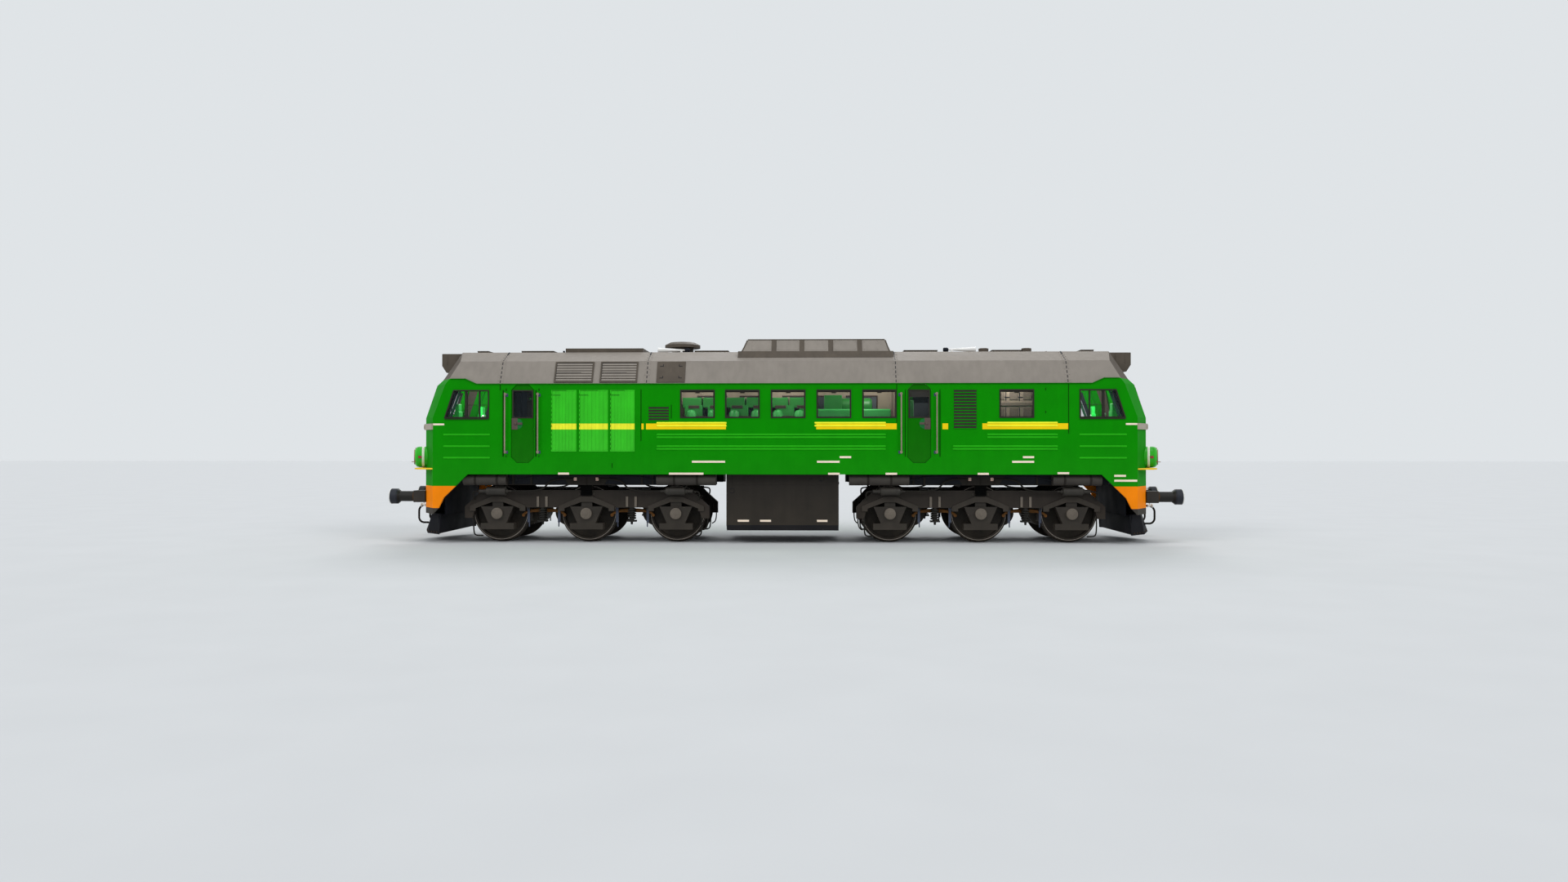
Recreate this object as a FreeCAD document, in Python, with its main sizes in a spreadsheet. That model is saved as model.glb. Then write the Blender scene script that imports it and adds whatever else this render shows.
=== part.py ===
"""Six-axle diesel locomotive with a cab at each end, as separate named pieces.

+X is forwards, +Z is up, and the origin is on the plane under the wheel flanges,
below the middle of the locomotive. All sizes are in millimetres.
"""
import FreeCAD, Part
import Sketcher
import math
import os
import re

Vector = FreeCAD.Vector
doc = FreeCAD.newDocument("locomotive")
sheet = doc.addObject("Spreadsheet::Sheet", "Sizes")
size_names = []
pieces = {}


def sizes(**values):
    """Write one group of driving dimensions to the sheet, each under its own name."""
    for name, value in values.items():
        size_names.append(name)
        row = len(size_names)
        sheet.set(f"A{row}", name)
        sheet.set(f"B{row}", str(value))
        sheet.setAlias(f"B{row}", name)


def table(columns, rows):
    """Write a table to the sheet: the cell of a row and a column is named row_column."""
    for row, *values in rows:
        sizes(**{f"{row}_{column}": value for column, value in zip(columns, values)})


def tied(**formulas):
    """Write sizes that follow from others."""
    sizes(**{name: f"={text}" for name, text in formulas.items()})


def from_face(**places):
    """Places set by how far they stand back from the nose's face, or ahead of it where negative."""
    for name, back in places.items():
        sizes(**{f"{name}_back": back})
        tied(**{name: f"body_length / 2 - {name}_back"})


def above_roof(**places):
    """Heights set by how far they stand above the crown of the roof."""
    for name, rise in places.items():
        sizes(**{f"{name}_rise": rise})
        tied(**{name: f"roof_top_height + {name}_rise"})


# The whole locomotive
sizes(body_length=15940, body_width=2950, body_wall=60)
sizes(pivot_spacing=8650, axle_spacing=1976, tread_radius=620, flange_height=28)
tied(wall_inner="body_width / 2 - body_wall", axle_height="tread_radius + flange_height")
# Heights of the body's lines
sizes(apron_height=645, skirt_height=778, shelf_height=1007, sole_height=1515, deck_thick=85)
sizes(waist_height=2750, eaves_height=3486, brow_height=3480, cab_eaves_height=3600)
sizes(roof_knee_height=3995, roof_top_height=4235, roof_sheet=50)
sizes(roof_knee_half=1240, roof_top_half=735)
# Plan and side outline of the two noses, measured back from the nose's face
sizes(corner_back=340, corner_half=950, brow_back=235, brow_half=900, brow_corner_back=610)
sizes(top_back=360, top_half=880, top_corner_back=710, nose_corner_wall=110)
sizes(slope_top_back=750, slope_top_half=735)
from_face(skirt_foot=465, skirt_knee=580, skirt_head=1100, eaves_ramp_low=1295, eaves_ramp_high=1040)
from_face(cab_joint=1815)
sizes(engine_joint_rear=2953, engine_joint_front=2460)
# Windows in the sides share two heights
sizes(window_sill=2740, window_head=3350, glass_thick=8)
from_face(cab_window_heel=1570, cab_window_low_front=590, cab_window_high_front=793)
WINDOWS = ("window_a", "window_b", "window_c", "window_d", "window_e", "window_f")
table(("start", "end"), (
    ("window_a", -2214, -1468), ("window_b", -1237, -493), ("window_c", -244, 499),
    ("window_d", 746, 1488), ("window_e", 1735, 2463), ("window_f", 4685, 5420)))
sizes(windscreen_inner=90, windscreen_outer=840, windscreen_low=2880, windscreen_high=3400)
# Doors: the leaf is an eight-sided sheet on two hinge pins
sizes(door_foot=1770, door_head=3470, door_leaf=40, door_gap=6, door_corner=125)
sizes(door_recess=12, hinge_pin=8, hinge_eye=14, hinge_clear=0.7, hinge_length=70, hinge_set=1)
sizes(hinge_plate=70, hinge_strap=110)
tied(hinge_axis="wall_inner - hinge_eye - hinge_set", leaf_inner="body_width / 2 - door_recess - door_leaf")
sizes(hinge_low=2050, hinge_high=3150, door_window_sill=2740, door_window_head=3345, door_frame=24)
table(("start", "end"), (("rear_door", -5907, -5411), ("front_door", 2709, 3207)))
# Grilles in and on the sides
SHUTTERS = ("shutter_a", "shutter_b", "shutter_c")
LOUVRES = ("louvre_small", "louvre_large")
sizes(shutter_foot=2010, shutter_head=3350, grille_thick=30, grille_proud=8)
table(("start", "end"), (
    ("shutter_a", -5030, -4480), ("shutter_b", -4420, -3790), ("shutter_c", -3740, -3210)))
table(("start", "end", "foot", "head"), (
    ("louvre_small", -2906, -2462, 2683, 2990), ("louvre_large", 3700, 4190, 2506, 3353)))
ROOF_PANELS = ("roof_grille_a", "roof_grille_b", "roof_plate")
table(("start", "end"), (
    ("roof_grille_a", -4980, -4130), ("roof_grille_b", -3980, -3160), ("roof_plate", -2740, -2120)))
sizes(roof_panel_foot=3510, roof_panel_head=3975, roof_panel_thick=22)
# Underframe
sizes(sill_inner=950, sill_outer=1150, sill_foot=1285, sill_gap=235)
sizes(deck_gap=15)
from_face(deck_end=420, sill_end=870)
tied(deck_half="wall_inner - deck_gap")
sizes(headstock_thick=90, headstock_foot=800, headstock_clear=2, nose_beam_half=700, nose_beam_deep=250)
sizes(bracket_top_half=600, bracket_foot_half=390, bracket_foot=1270, bracket_outer=1160)
sizes(centre_block_half=350, centre_block_wide=450, centre_block_foot=1200)
sizes(pivot_radius=150, pivot_foot=1000, pivot_clear=4)
# Ploughs
sizes(plough_foot=190, plough_top=640, plough_sheet=30, plough_front_half=900, plough_half=1300)
sizes(hanger_half=60, hanger_place=620)
from_face(plough_tip=-330, plough_tip_top=-180, plough_front=20, plough_front_top=110)
from_face(plough_rear=420, plough_rear_top=450)
# Buffers, draw hooks and hoses
sizes(buffer_place=875, buffer_height=1012, buffer_base=260, buffer_base_side=260)
from_face(buffer_face=-805)
sizes(buffer_barrel=115, buffer_head=170, buffer_head_thick=150, buffer_neck=70)
sizes(hook_height=1080, hook_thick=50, hook_reach=330, hook_neck=35, guide_thick=30, guide_wide=160,
      guide_high=130)
HOOK = ("hook_chin", "hook_nose", "hook_lip", "hook_crown", "hook_throat", "hook_seat", "hook_top",
        "hook_heel")
table(("back", "rise"), (
    ("hook_chin", 60, -75), ("hook_nose", 0, -20), ("hook_lip", 0, 100), ("hook_crown", 55, 125),
    ("hook_throat", 70, 60), ("hook_seat", 75, 15), ("hook_top", 130, 20), ("hook_heel", 160, 35)))
sizes(hose_place=350, hose_radius=22, hose_top=790, hose_foot=390, hose_reach=375, hose_bend=140)
sizes(hose_hook=120, hose_gap=0.5)
# Lamps
sizes(headlight_foot=3970, headlight_low=3815, headlight_half=300)
from_face(headlight_face=130, headlight_heel=230)
above_roof(headlight_top=9)
sizes(drum_place=850, drum_height=1890, drum_radius=230, drum_dome=85)
sizes(marker_inner=850, marker_round=30, marker_side=20, marker_foot=2490, marker_head=2622)
from_face(drum_face=-220, marker_face=-36)
# Tank, reservoirs and handrails
sizes(tank_gap=390, tank_half_width=1300, tank_foot=280, tank_corner=130)
sizes(reservoir_radius=121, reservoir_gap=9, seat_gap=0.3)
tied(reservoir_place="wall_inner - reservoir_gap - reservoir_radius")
RESERVOIRS = ("reservoir_a", "reservoir_b", "reservoir_c", "reservoir_d")
table(("start", "end"), (
    ("reservoir_a", -7000, -6050), ("reservoir_b", -2750, -1450),
    ("reservoir_c", 1450, 2750), ("reservoir_d", 5850, 6900)))
RAILS = ("rail_a", "rail_b", "rail_c", "rail_d")
sizes(rail_foot=1970, rail_head=3290, rail_radius=16, rail_proud=62, rail_stub=9)
table(("place",), (("rail_a", -6040), ("rail_b", -5320), ("rail_c", 2570), ("rail_d", 3335)))
# Things on the roof
HATCHES = ("hatch_a", "hatch_b", "hatch_c", "hatch_d", "hatch_e", "hatch_f")
table(("start", "end"), (
    ("hatch_a", -6980, -6735), ("hatch_b", -5970, -5240), ("hatch_c", -2020, -1255),
    ("hatch_d", 2725, 3475), ("hatch_e", 4705, 5360), ("hatch_f", 6695, 6975)))
sizes(hatch_half=420, hatch_high=62)
sizes(vent_a=4518, vent_b=5482, vent_side=-360, vent_radius=112, vent_high=98)
sizes(fan_start=-4900, fan_end=-3150, fan_half=690, fan_rim=70, fan_blade=24)
sizes(cowl_place=-2340, cowl_neck=250, cowl_radius=405)
above_roof(fan_top=95, cowl_foot=155, cowl_edge=220, cowl_top=280)
sizes(housing_start=-1000, housing_end=2440, housing_half=1050, housing_foot=4090)
sizes(housing_top_start=-780, housing_top_end=2260, housing_top_half=760)
above_roof(housing_top=280)
sizes(horn_front=3720, horn_rear=-2860, horn_side=-360, horn_length=620, horn_mouth=60, horn_throat=18)
sizes(horn_gap=20, horn_foot_near=60, horn_foot_far=510, horn_foot_long=50)
# Inside
sizes(bulkhead_thick=50, bulkhead_gap=5, rear_wall=-3100, front_wall=2560)
sizes(doorway_inner=760, doorway_outer=1300, doorway_head=3450, doorway_sill=60)
from_face(bulkhead_place=1755)
tied(bulkhead_half="wall_inner - bulkhead_gap")
sizes(inner_knee_half=1180, inner_top_half=680, inner_clear=1)
sizes(engine_start=-2300, engine_end=860, engine_half=430, engine_top=2560)
sizes(head_inner=90, head_outer=420, head_top=3060, head_length=400, head_pitch=520, head_gap=60)
sizes(head_count=6)
sizes(generator_start=960, generator_end=2380, generator_radius=520, generator_height=2200)
sizes(coupling_radius=220)
sizes(cabinet_start=4080, cabinet_end=5640, cabinet_half=700, cabinet_top=3420)
from_face(desk_heel=1020, desk_front=490)
sizes(desk_top=2600, desk_lip=2450, desk_half=1180)
sizes(desk_knee=150, desk_slope=200, desk_edge=60)
from_face(seat_heel=1490)
sizes(seat_place=620, seat_depth=430, seat_half=230, seat_height=2110, seat_thick=110)
sizes(seat_back_top=2860, seat_back_thick=90, seat_post=60)
# Bogies, in the bogie's own frame with x from its pivot
sizes(frame_inner=1000, frame_outer=1130, frame_top=1146, frame_foot=775, shoulder_reach=354,
      frame_reach=734)
tied(frame_shoulder="axle_spacing + shoulder_reach", frame_end="axle_spacing + frame_reach")
tied(tank_half_length="pivot_spacing / 2 - frame_end - tank_gap")
tied(sill_start="tank_half_length + sill_gap")
sizes(frame_end_top=800, frame_end_foot=540, arch_half=490, arch_top=898)
sizes(arch_flat=120, arch_side=760, pad_proud=25, pad_deep=126)
tied(transom_place="axle_spacing / 2", spring_place="axle_spacing / 2")
sizes(transom_half=140, transom_foot=850, transom_top=1120)
sizes(spine_half=330, spine_foot=985, bearer_half=120, bearer_inner=1010, bearer_outer=1120)
sizes(axle_radius=90, journal_radius=75, axle_end=1100, journal_start=930, journal_clear=0.4)
sizes(journal_end_gap=4)
sizes(wheel_back=720, wheel_face=860, flange_thick=33, web_near=765, web_far=795)
sizes(hub_radius=150, hub_face=880, rim_depth=75)
sizes(box_top_half=360, box_foot_half=200, box_top=800, box_foot=432, box_inner=945, box_outer=1175)
sizes(bar_half=367, bar_foot=296, cover_radius=124, cover_thick=40)
sizes(spring_radius=75, spring_foot=500, spring_seat_half=130, spring_seat_thick=40)
sizes(motor_radius=300, motor_place=520, motor_half=600, sleeve_radius=150, sleeve_clear=5)
sizes(sleeve_length=120, sleeve_place=440, motor_arm_half=120)
sizes(nose_near=200, nose_half=180, nose_low=110, nose_high=200, link_inset=128, link_half=40)
sizes(shoe_thick=70, shoe_gap=8, shoe_foot=470, shoe_top=760, shoe_inner=775, shoe_outer=850)
sizes(arm_half=18, arm_thick=40)
sizes(cylinder_radius=95, cylinder_length=420, cylinder_height=1142)
doc.recompute()


# ---------------------------------------------------------------- building blocks
def formula(text):
    """Point every size name in an expression at its cell in the sheet."""
    return re.sub(r"[a-z]\w+", lambda word: f"Sizes.{word[0]}" if word[0] in size_names else word[0],
                  str(text))


def bind(thing, **values):
    for name, value in values.items():
        thing.setExpression(name, formula(value))


def place(thing, x=0, y=0, z=0):
    """Bind an object's position, and leave its turn as it is."""
    for axis, value in zip("xyz", (x, y, z)):
        thing.setExpression(f"Placement.Base.{axis}", formula(value))
    return thing


def block(x, y, z):
    """A box between a low and a high value on each axis."""
    thing = doc.addObject("Part::Box", "block")
    for name, (low, high) in zip(("Length", "Width", "Height"), (x, y, z)):
        thing.setExpression(name, formula(f"({high}) - ({low})"))
    return place(thing, x[0], y[0], z[0])


TURNS = {"x": FreeCAD.Rotation(Vector(0, 1, 0), 90), "y": FreeCAD.Rotation(Vector(1, 0, 0), -90),
         "z": FreeCAD.Rotation()}


def rod(axis, radius, length, at, tip=None):
    """A cylinder, or a cone where tip gives its far radius, that starts at a point and runs along +axis."""
    thing = doc.addObject("Part::Cylinder" if tip is None else "Part::Cone", "rod")
    if tip is None:
        bind(thing, Radius=radius, Height=length)
    else:
        bind(thing, Radius1=radius, Radius2=tip, Height=length)
    thing.Placement = FreeCAD.Placement(Vector(), TURNS[axis])
    return place(thing, *at)


def draw(sketch, loops):
    """Draw closed outlines whose corners are held at two expressions each."""
    for loop in loops:
        first, count = sketch.GeometryCount, len(loop)
        turn = [2 * math.pi * corner / count for corner in range(count + 1)]
        ring = [Vector(1000 * math.cos(angle), 1000 * math.sin(angle), 0) for angle in turn]
        sketch.addGeometry([Part.LineSegment(a, b) for a, b in zip(ring[:-1], ring[1:])], False)
        joints = [Sketcher.Constraint("Coincident", first + i, 2, first + (i + 1) % count, 1)
                  for i in range(count)]
        places = [Sketcher.Constraint(kind, -1, 1, first + i, 1, 100.0)
                  for i in range(count) for kind in ("DistanceX", "DistanceY")]
        start = sketch.ConstraintCount + count
        sketch.addConstraint(joints + places)
        for number, value in enumerate(value for corner in loop for value in corner):
            sketch.setExpression(f"Constraints[{start + number}]", formula(value))
    return sketch


PLANES = {"XY": (FreeCAD.Rotation(), Vector(0, 0, 1), "z"),
          "XZ": (FreeCAD.Rotation(Vector(1, 0, 0), 90), Vector(0, 1, 0), "y"),
          "YZ": (FreeCAD.Rotation(Vector(1, 1, 1), 120), Vector(1, 0, 0), "x")}


def free_sketch(plane, loops, level):
    turn, normal, axis = PLANES[plane]
    sketch = draw(doc.addObject("Sketcher::SketchObject", "outline"), loops)
    sketch.Placement = FreeCAD.Placement(Vector(), turn)
    return place(sketch, **{axis: level})


def prism(plane, loops, low, high):
    """Outlines on a plane, made solid between two levels along that plane's axis."""
    thing = doc.addObject("Part::Extrusion", "prism")
    thing.Base = free_sketch(plane, loops, low)
    thing.DirMode = "Custom"
    thing.Dir = PLANES[plane][1]
    thing.setExpression("LengthFwd", formula(f"({high}) - ({low})"))
    thing.Solid = True
    return thing


def loft(plane, sections):
    """A flat-sided solid through outlines at several levels: (level, corners) for each."""
    thing = doc.addObject("Part::Loft", "loft")
    thing.Sections = [free_sketch(plane, [corners], level) for level, corners in sections]
    thing.Solid = True
    thing.Ruled = True
    return thing


def fuse(*things):
    thing = doc.addObject("Part::MultiFuse", "joined")
    thing.Shapes = list(things)
    return thing


def group(*things):
    thing = doc.addObject("Part::Compound", "group")
    thing.Links = list(things)
    return thing


def cut(base, *tools):
    thing = doc.addObject("Part::Cut", "cut")
    thing.Base = base
    thing.Tool = tools[0] if len(tools) == 1 else group(*tools)
    return thing


def common(base, tool):
    thing = doc.addObject("Part::Common", "common")
    thing.Base = base
    thing.Tool = tool
    return thing


def mirrored(source, normal):
    thing = doc.addObject("Part::Mirroring", "mirrored")
    thing.Source = source
    thing.Normal = normal
    return thing


ACROSS, ALONG = Vector(0, 1, 0), Vector(1, 0, 0)


def both_sides(*things):
    """The things and their mirror images on the other side."""
    return [*things, *(mirrored(thing, ACROSS) for thing in things)]


def both_ends(*things):
    """The things and their mirror images at the other end."""
    return [*things, *(mirrored(thing, ALONG) for thing in things)]


def piece(label, thing):
    """Name a finished piece; its file takes this name."""
    thing.Label = label
    pieces[label] = thing
    return thing


def origin_plane(owner, role):
    return next(item for item in owner.Origin.OriginFeatures if item.Role == role)


def body_sketch(owner, role, loops):
    sketch = owner.newObject("Sketcher::SketchObject", "outline")
    sketch.AttachmentSupport = (origin_plane(owner, role), [""])
    sketch.MapMode = "FlatFace"
    return draw(sketch, loops)


def padded_body(role, loops, length, pockets=()):
    """A body padded from outlines, with through pockets cut from more outlines."""
    owner = doc.addObject("PartDesign::Body", "body")
    pad = owner.newObject("PartDesign::Pad", "pad")
    pad.Profile = body_sketch(owner, role, loops)
    bind(pad, Length=length)
    if pockets:
        pocket = owner.newObject("PartDesign::Pocket", "pocket")
        pocket.Profile = body_sketch(owner, role, pockets)
        pocket.Type = "ThroughAll"
        pocket.SideType = "Symmetric"
    return owner


def turned_body(corners, axis):
    """A body spun from half a section drawn on the XY plane."""
    owner = doc.addObject("PartDesign::Body", "turned")
    sketch = body_sketch(owner, "XY_Plane", [corners])
    spin = owner.newObject("PartDesign::Revolution", "spin")
    spin.Profile = sketch
    spin.ReferenceAxis = (sketch, [axis])
    spin.Angle = 360
    return owner


def rectangle(x, z):
    """Corners of a rectangle from a low and a high value on each axis."""
    return [(x[0], z[0]), (x[1], z[0]), (x[1], z[1]), (x[0], z[1])]


def mirror_corners(corners):
    """Corners followed by their mirror images, so that the outline closes on itself."""
    return corners + [(f"-({x})", z) for x, z in reversed(corners)]


# ---------------------------------------------------------------- body shell
def nose_sections(inset, corner_inset, stretch):
    """Plan outlines of the nose from skirt to eaves, drawn in by a wall where inset is not 0."""
    rows = (("apron_height - " + stretch, "0", "corner_half", "corner_back"),
            ("waist_height", "0", "corner_half", "corner_back"),
            ("brow_height", "brow_back", "brow_half", "brow_corner_back"),
            ("cab_eaves_height + " + stretch, "top_back", "top_half", "top_corner_back"))
    for level, back, half, corner in rows:
        heel = f"body_length / 2 - {corner}"
        face = f"body_length / 2 - {back} - {inset}"
        side = f"body_width / 2 - {corner_inset}"
        near = f"{half} - {inset} * 0.3"
        outline = [(heel, side), (face, near), (face, f"-({near})"), (heel, f"-({side})")]
        if inset != "0":
            outline += [(f"{heel} - body_wall", f"-({side})"), (f"{heel} - body_wall", side)]
        yield level, outline


def nose_solid():
    return loft("XY", list(nose_sections("0", "0", "0")))


def nose():
    """Cab nose: bent sheet with a flat face, two corner facets and two windscreen openings."""
    outer = nose_solid()
    inner = loft("XY", list(nose_sections("body_wall", "nose_corner_wall", "10")))
    panes = [block(("body_length / 2 - 500", "body_length / 2 + 100"), span,
                   ("windscreen_low", "windscreen_high"))
             for span in (("windscreen_inner", "windscreen_outer"),
                          ("-windscreen_outer", "-windscreen_inner"))]
    return cut(outer, inner, *panes)


def cab_window_corners(grow="0"):
    return [(f"cab_window_heel - {grow}", f"window_sill - {grow}"),
            (f"cab_window_low_front + {grow}", f"window_sill - {grow}"),
            (f"cab_window_high_front + {grow}", f"window_head + {grow}"),
            (f"cab_window_heel - {grow}", f"window_head + {grow}")]


def door_corners(name, gap):
    """The eight-sided outline of a door, or of its opening where gap is not 0."""
    start, end = f"{name}_start - {gap}", f"{name}_end + {gap}"
    foot, head = f"door_foot - {gap}", f"door_head + {gap}"
    return [(start, f"{foot} + door_corner"), (f"{start} + door_corner", foot),
            (f"{end} - door_corner", foot), (end, f"{foot} + door_corner"),
            (end, f"{head} - door_corner"), (f"{end} - door_corner", head),
            (f"{start} + door_corner", head), (start, f"{head} - door_corner")]


HINGES = (("rear_door", "rear_door_end", 1), ("front_door", "front_door_start", -1))


def side_wall():
    """One side of the body: a framed sheet wall with every window, door and grille opening."""
    top = [("eaves_ramp_low", "eaves_height"), ("eaves_ramp_high", "cab_eaves_height"),
           ("body_length / 2 - top_corner_back", "cab_eaves_height"),
           ("body_length / 2 - brow_corner_back", "brow_height"),
           ("body_length / 2 - corner_back", "waist_height"),
           ("body_length / 2 - corner_back", "apron_height"), ("skirt_foot", "skirt_height"),
           ("skirt_knee", "shelf_height"), ("skirt_head", "sole_height")]
    openings = [rectangle((f"{name}_start", f"{name}_end"), ("window_sill", "window_head"))
                for name in WINDOWS]
    openings += [rectangle((f"{name}_start", f"{name}_end"), ("shutter_foot", "shutter_head"))
                 for name in SHUTTERS]
    openings += [rectangle((f"{name}_start", f"{name}_end"), (f"{name}_foot", f"{name}_head"))
                 for name in LOUVRES]
    openings += [door_corners(name, "door_gap") for name in ("rear_door", "front_door")]
    openings += [cab_window_corners(), [(f"-({x})", z) for x, z in cab_window_corners()]]
    wall = padded_body("XZ_Plane", [mirror_corners(top)], "body_wall", openings)
    place(wall, y="body_width / 2")
    return fuse(wall, *hinge_eyes())


def hinge_eyes():
    """Fixed half of each hinge: an eye on the wall's inner face with the pin through it."""
    eyes = []
    for _, edge, side in HINGES:
        near, far = f"{edge} + {side} * door_gap", f"{edge} + {side} * (door_gap + hinge_plate)"
        for height in ("hinge_low", "hinge_high"):
            low, high = f"{height} - hinge_length / 2", f"{height} - seat_gap"
            eyes.append(rod("z", "hinge_eye", f"{high} - ({low})", (edge, "hinge_axis", low)))
            eyes.append(rod("z", "hinge_pin", "hinge_length", (edge, "hinge_axis", low)))
            eyes.append(block((near, far) if side > 0 else (far, near),
                              ("hinge_axis - hinge_eye", "wall_inner"), (low, high)))
    return eyes


def door(name, edge, side):
    """Door leaf with its window opening and two hinge knuckles."""
    window = rectangle((f"{name}_start + door_frame", f"{name}_end - door_frame"),
                       ("door_window_sill", "door_window_head"))
    leaf = padded_body("XZ_Plane", [door_corners(name, "0")], "door_leaf", [window])
    place(leaf, y="body_width / 2 - door_recess")
    parts, holes = [leaf], []
    for height in ("hinge_low", "hinge_high"):
        strap = (f"{edge} - hinge_strap", edge) if side > 0 else (edge, f"{edge} + hinge_strap")
        parts.append(block(strap, ("hinge_axis", "leaf_inner"), (height, f"{height} + hinge_length / 2")))
        parts.append(rod("z", "hinge_eye", "hinge_length / 2", (edge, "hinge_axis", height)))
        holes.append(rod("z", "hinge_pin + hinge_clear", "hinge_length",
                         (edge, "hinge_axis", f"{height} - 10")))
    return cut(fuse(*parts), *holes)


def roof_outline(inset):
    """Half section of the roof as seen from the end, from eaves to crown."""
    return mirror_corners([(f"body_width / 2 - {inset}", f"eaves_height - {inset} * 0.02"),
                           (f"roof_knee_half - {inset}", f"roof_knee_height - {inset}"),
                           (f"roof_top_half - {inset}", f"roof_top_height - {inset}")])


def roof_section(start, end):
    """Roof between two joints: one bent sheet."""
    return cut(prism("YZ", [roof_outline("0")], start, end),
               prism("YZ", [roof_outline("roof_sheet")], f"{start} - 10", f"{end} + 10"))


def cab_roof_solid(inset, start):
    """Roof end, cut back by the front slope and by two corner slopes."""
    bar = prism("YZ", [roof_outline(inset)], start, "body_length / 2")
    sections = []
    for level, back, half in (("cab_eaves_height", "top_back", "top_half"),
                              ("roof_top_height", "slope_top_back", "slope_top_half")):
        face, near = f"body_length / 2 - {back} - {inset} * 1.2", f"{half} - {inset} * 0.3"
        run = "(top_corner_back - top_back) * 3"
        spread = "(body_width / 2 - top_half) * 3"
        outline = [(face, near), (f"{face} - {run}", f"{near} + {spread}"),
                   ("cab_joint - 200", f"{near} + {spread}")]
        sections.append((level, outline + [(x, f"-({y})") for x, y in reversed(outline)]))
    lower = prism("XZ", [[("cab_joint - 200", "eaves_height - 100"),
                          ("eaves_ramp_high", "eaves_height - 100"),
                          ("eaves_ramp_high", "cab_eaves_height"), ("cab_joint - 200", "cab_eaves_height")]],
                  "-body_width / 2", "body_width / 2")
    return common(bar, fuse(lower, loft("XY", sections)))


def cab_roof():
    wall_top = prism("XZ", [[("eaves_ramp_low", "eaves_height"), ("eaves_ramp_high", "cab_eaves_height"),
                             ("body_length", "cab_eaves_height"), ("body_length", "skirt_height"),
                             ("eaves_ramp_low", "skirt_height")]], "-body_width", "body_width")
    return cut(cab_roof_solid("0", "cab_joint"), cab_roof_solid("roof_sheet", "cab_joint - 10"), wall_top)


def inner_outline(foot):
    """Cross-section of the room inside the body."""
    return mirror_corners([("bulkhead_half", foot), ("bulkhead_half", "eaves_height - 20"),
                           ("inner_knee_half", "roof_knee_height - roof_sheet - 10"),
                           ("inner_top_half", "roof_top_height - roof_sheet - inner_clear")])


def bulkheads():
    """Walls across the body: behind each cab, and at both ends of the engine room."""
    foot = "sole_height + deck_thick"
    walls = [(place_, f"{place_} + bulkhead_thick")
             for place_ in ("bulkhead_place", "-bulkhead_place - bulkhead_thick", "rear_wall", "front_wall")]
    doorway = block(("-body_length / 2", "body_length / 2"), ("doorway_inner", "doorway_outer"),
                    (f"{foot} + doorway_sill", "doorway_head"))
    return cut(group(*(prism("YZ", [inner_outline(foot)], *span) for span in walls)), doorway)


def windows():
    """Glass of the side windows, held at the middle of the wall."""
    level = ("body_width / 2 - body_wall / 2", "body_width / 2 - body_wall / 2 + glass_thick")
    panes = [block((f"{name}_start", f"{name}_end"), level, ("window_sill", "window_head"))
             for name in WINDOWS]
    panes += both_ends(prism("XZ", [cab_window_corners()], *level))
    return group(*both_sides(*panes))


def windscreens():
    """Two raked panes in each nose."""
    lean = "brow_back / (brow_height - waist_height)"
    face = "body_length / 2 - body_wall / 2"
    low = f"{face} - (windscreen_low - waist_height) * {lean}"
    high = f"{face} - (windscreen_high - waist_height) * {lean}"
    corners = [(low, "windscreen_low"), (f"{low} + glass_thick", "windscreen_low"),
               (f"{high} + glass_thick", "windscreen_high"), (high, "windscreen_high")]
    pane = prism("XZ", [corners], "windscreen_inner", "windscreen_outer")
    return group(*both_ends(*both_sides(pane)))


# ---------------------------------------------------------------- underframe
def underframe():
    """Deck plate, two sills, headstocks, bearer brackets and the two pivot pins."""
    deck_top = "sole_height + deck_thick"
    deck = block(("-deck_end", "deck_end"), ("-deck_half", "deck_half"), ("sole_height", deck_top))
    sill = block(("sill_start", "sill_end"), ("sill_inner", "sill_outer"), ("sill_foot", "sole_height"))
    inner, middle = "body_length / 2 - body_wall", "pivot_spacing / 2"
    half = "corner_half - body_wall * 0.3 - headstock_clear"
    headstock = block((f"{inner} - headstock_thick", inner),
                      (f"-({half})", half),
                      ("headstock_foot", deck_top))
    beam = block(("deck_end - 200", f"{inner} - 10"), ("-nose_beam_half", "nose_beam_half"),
                 ("sole_height - nose_beam_deep", deck_top))
    ribs = both_sides(block(("skirt_foot - 50", f"{inner} - 10"),
                            ("hanger_place - hanger_half + 20", "hanger_place + hanger_half - 20"),
                            ("headstock_foot", "sole_height")))
    bracket = prism("XZ", [[(f"{middle} - bracket_foot_half", "bracket_foot"),
                            (f"{middle} + bracket_foot_half", "bracket_foot"),
                            (f"{middle} + bracket_top_half", "sole_height"),
                            (f"{middle} - bracket_top_half", "sole_height")]],
                    "sill_inner - 20", "bracket_outer")
    centre = block((f"{middle} - centre_block_half", f"{middle} + centre_block_half"),
                   ("-centre_block_wide", "centre_block_wide"), ("centre_block_foot", "sole_height"))
    pin = rod("z", "pivot_radius", "centre_block_foot + 10 - pivot_foot", (middle, "0", "pivot_foot"))
    return fuse(deck, *both_ends(headstock, beam, *ribs, *both_sides(sill, bracket), centre, pin))


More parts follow.
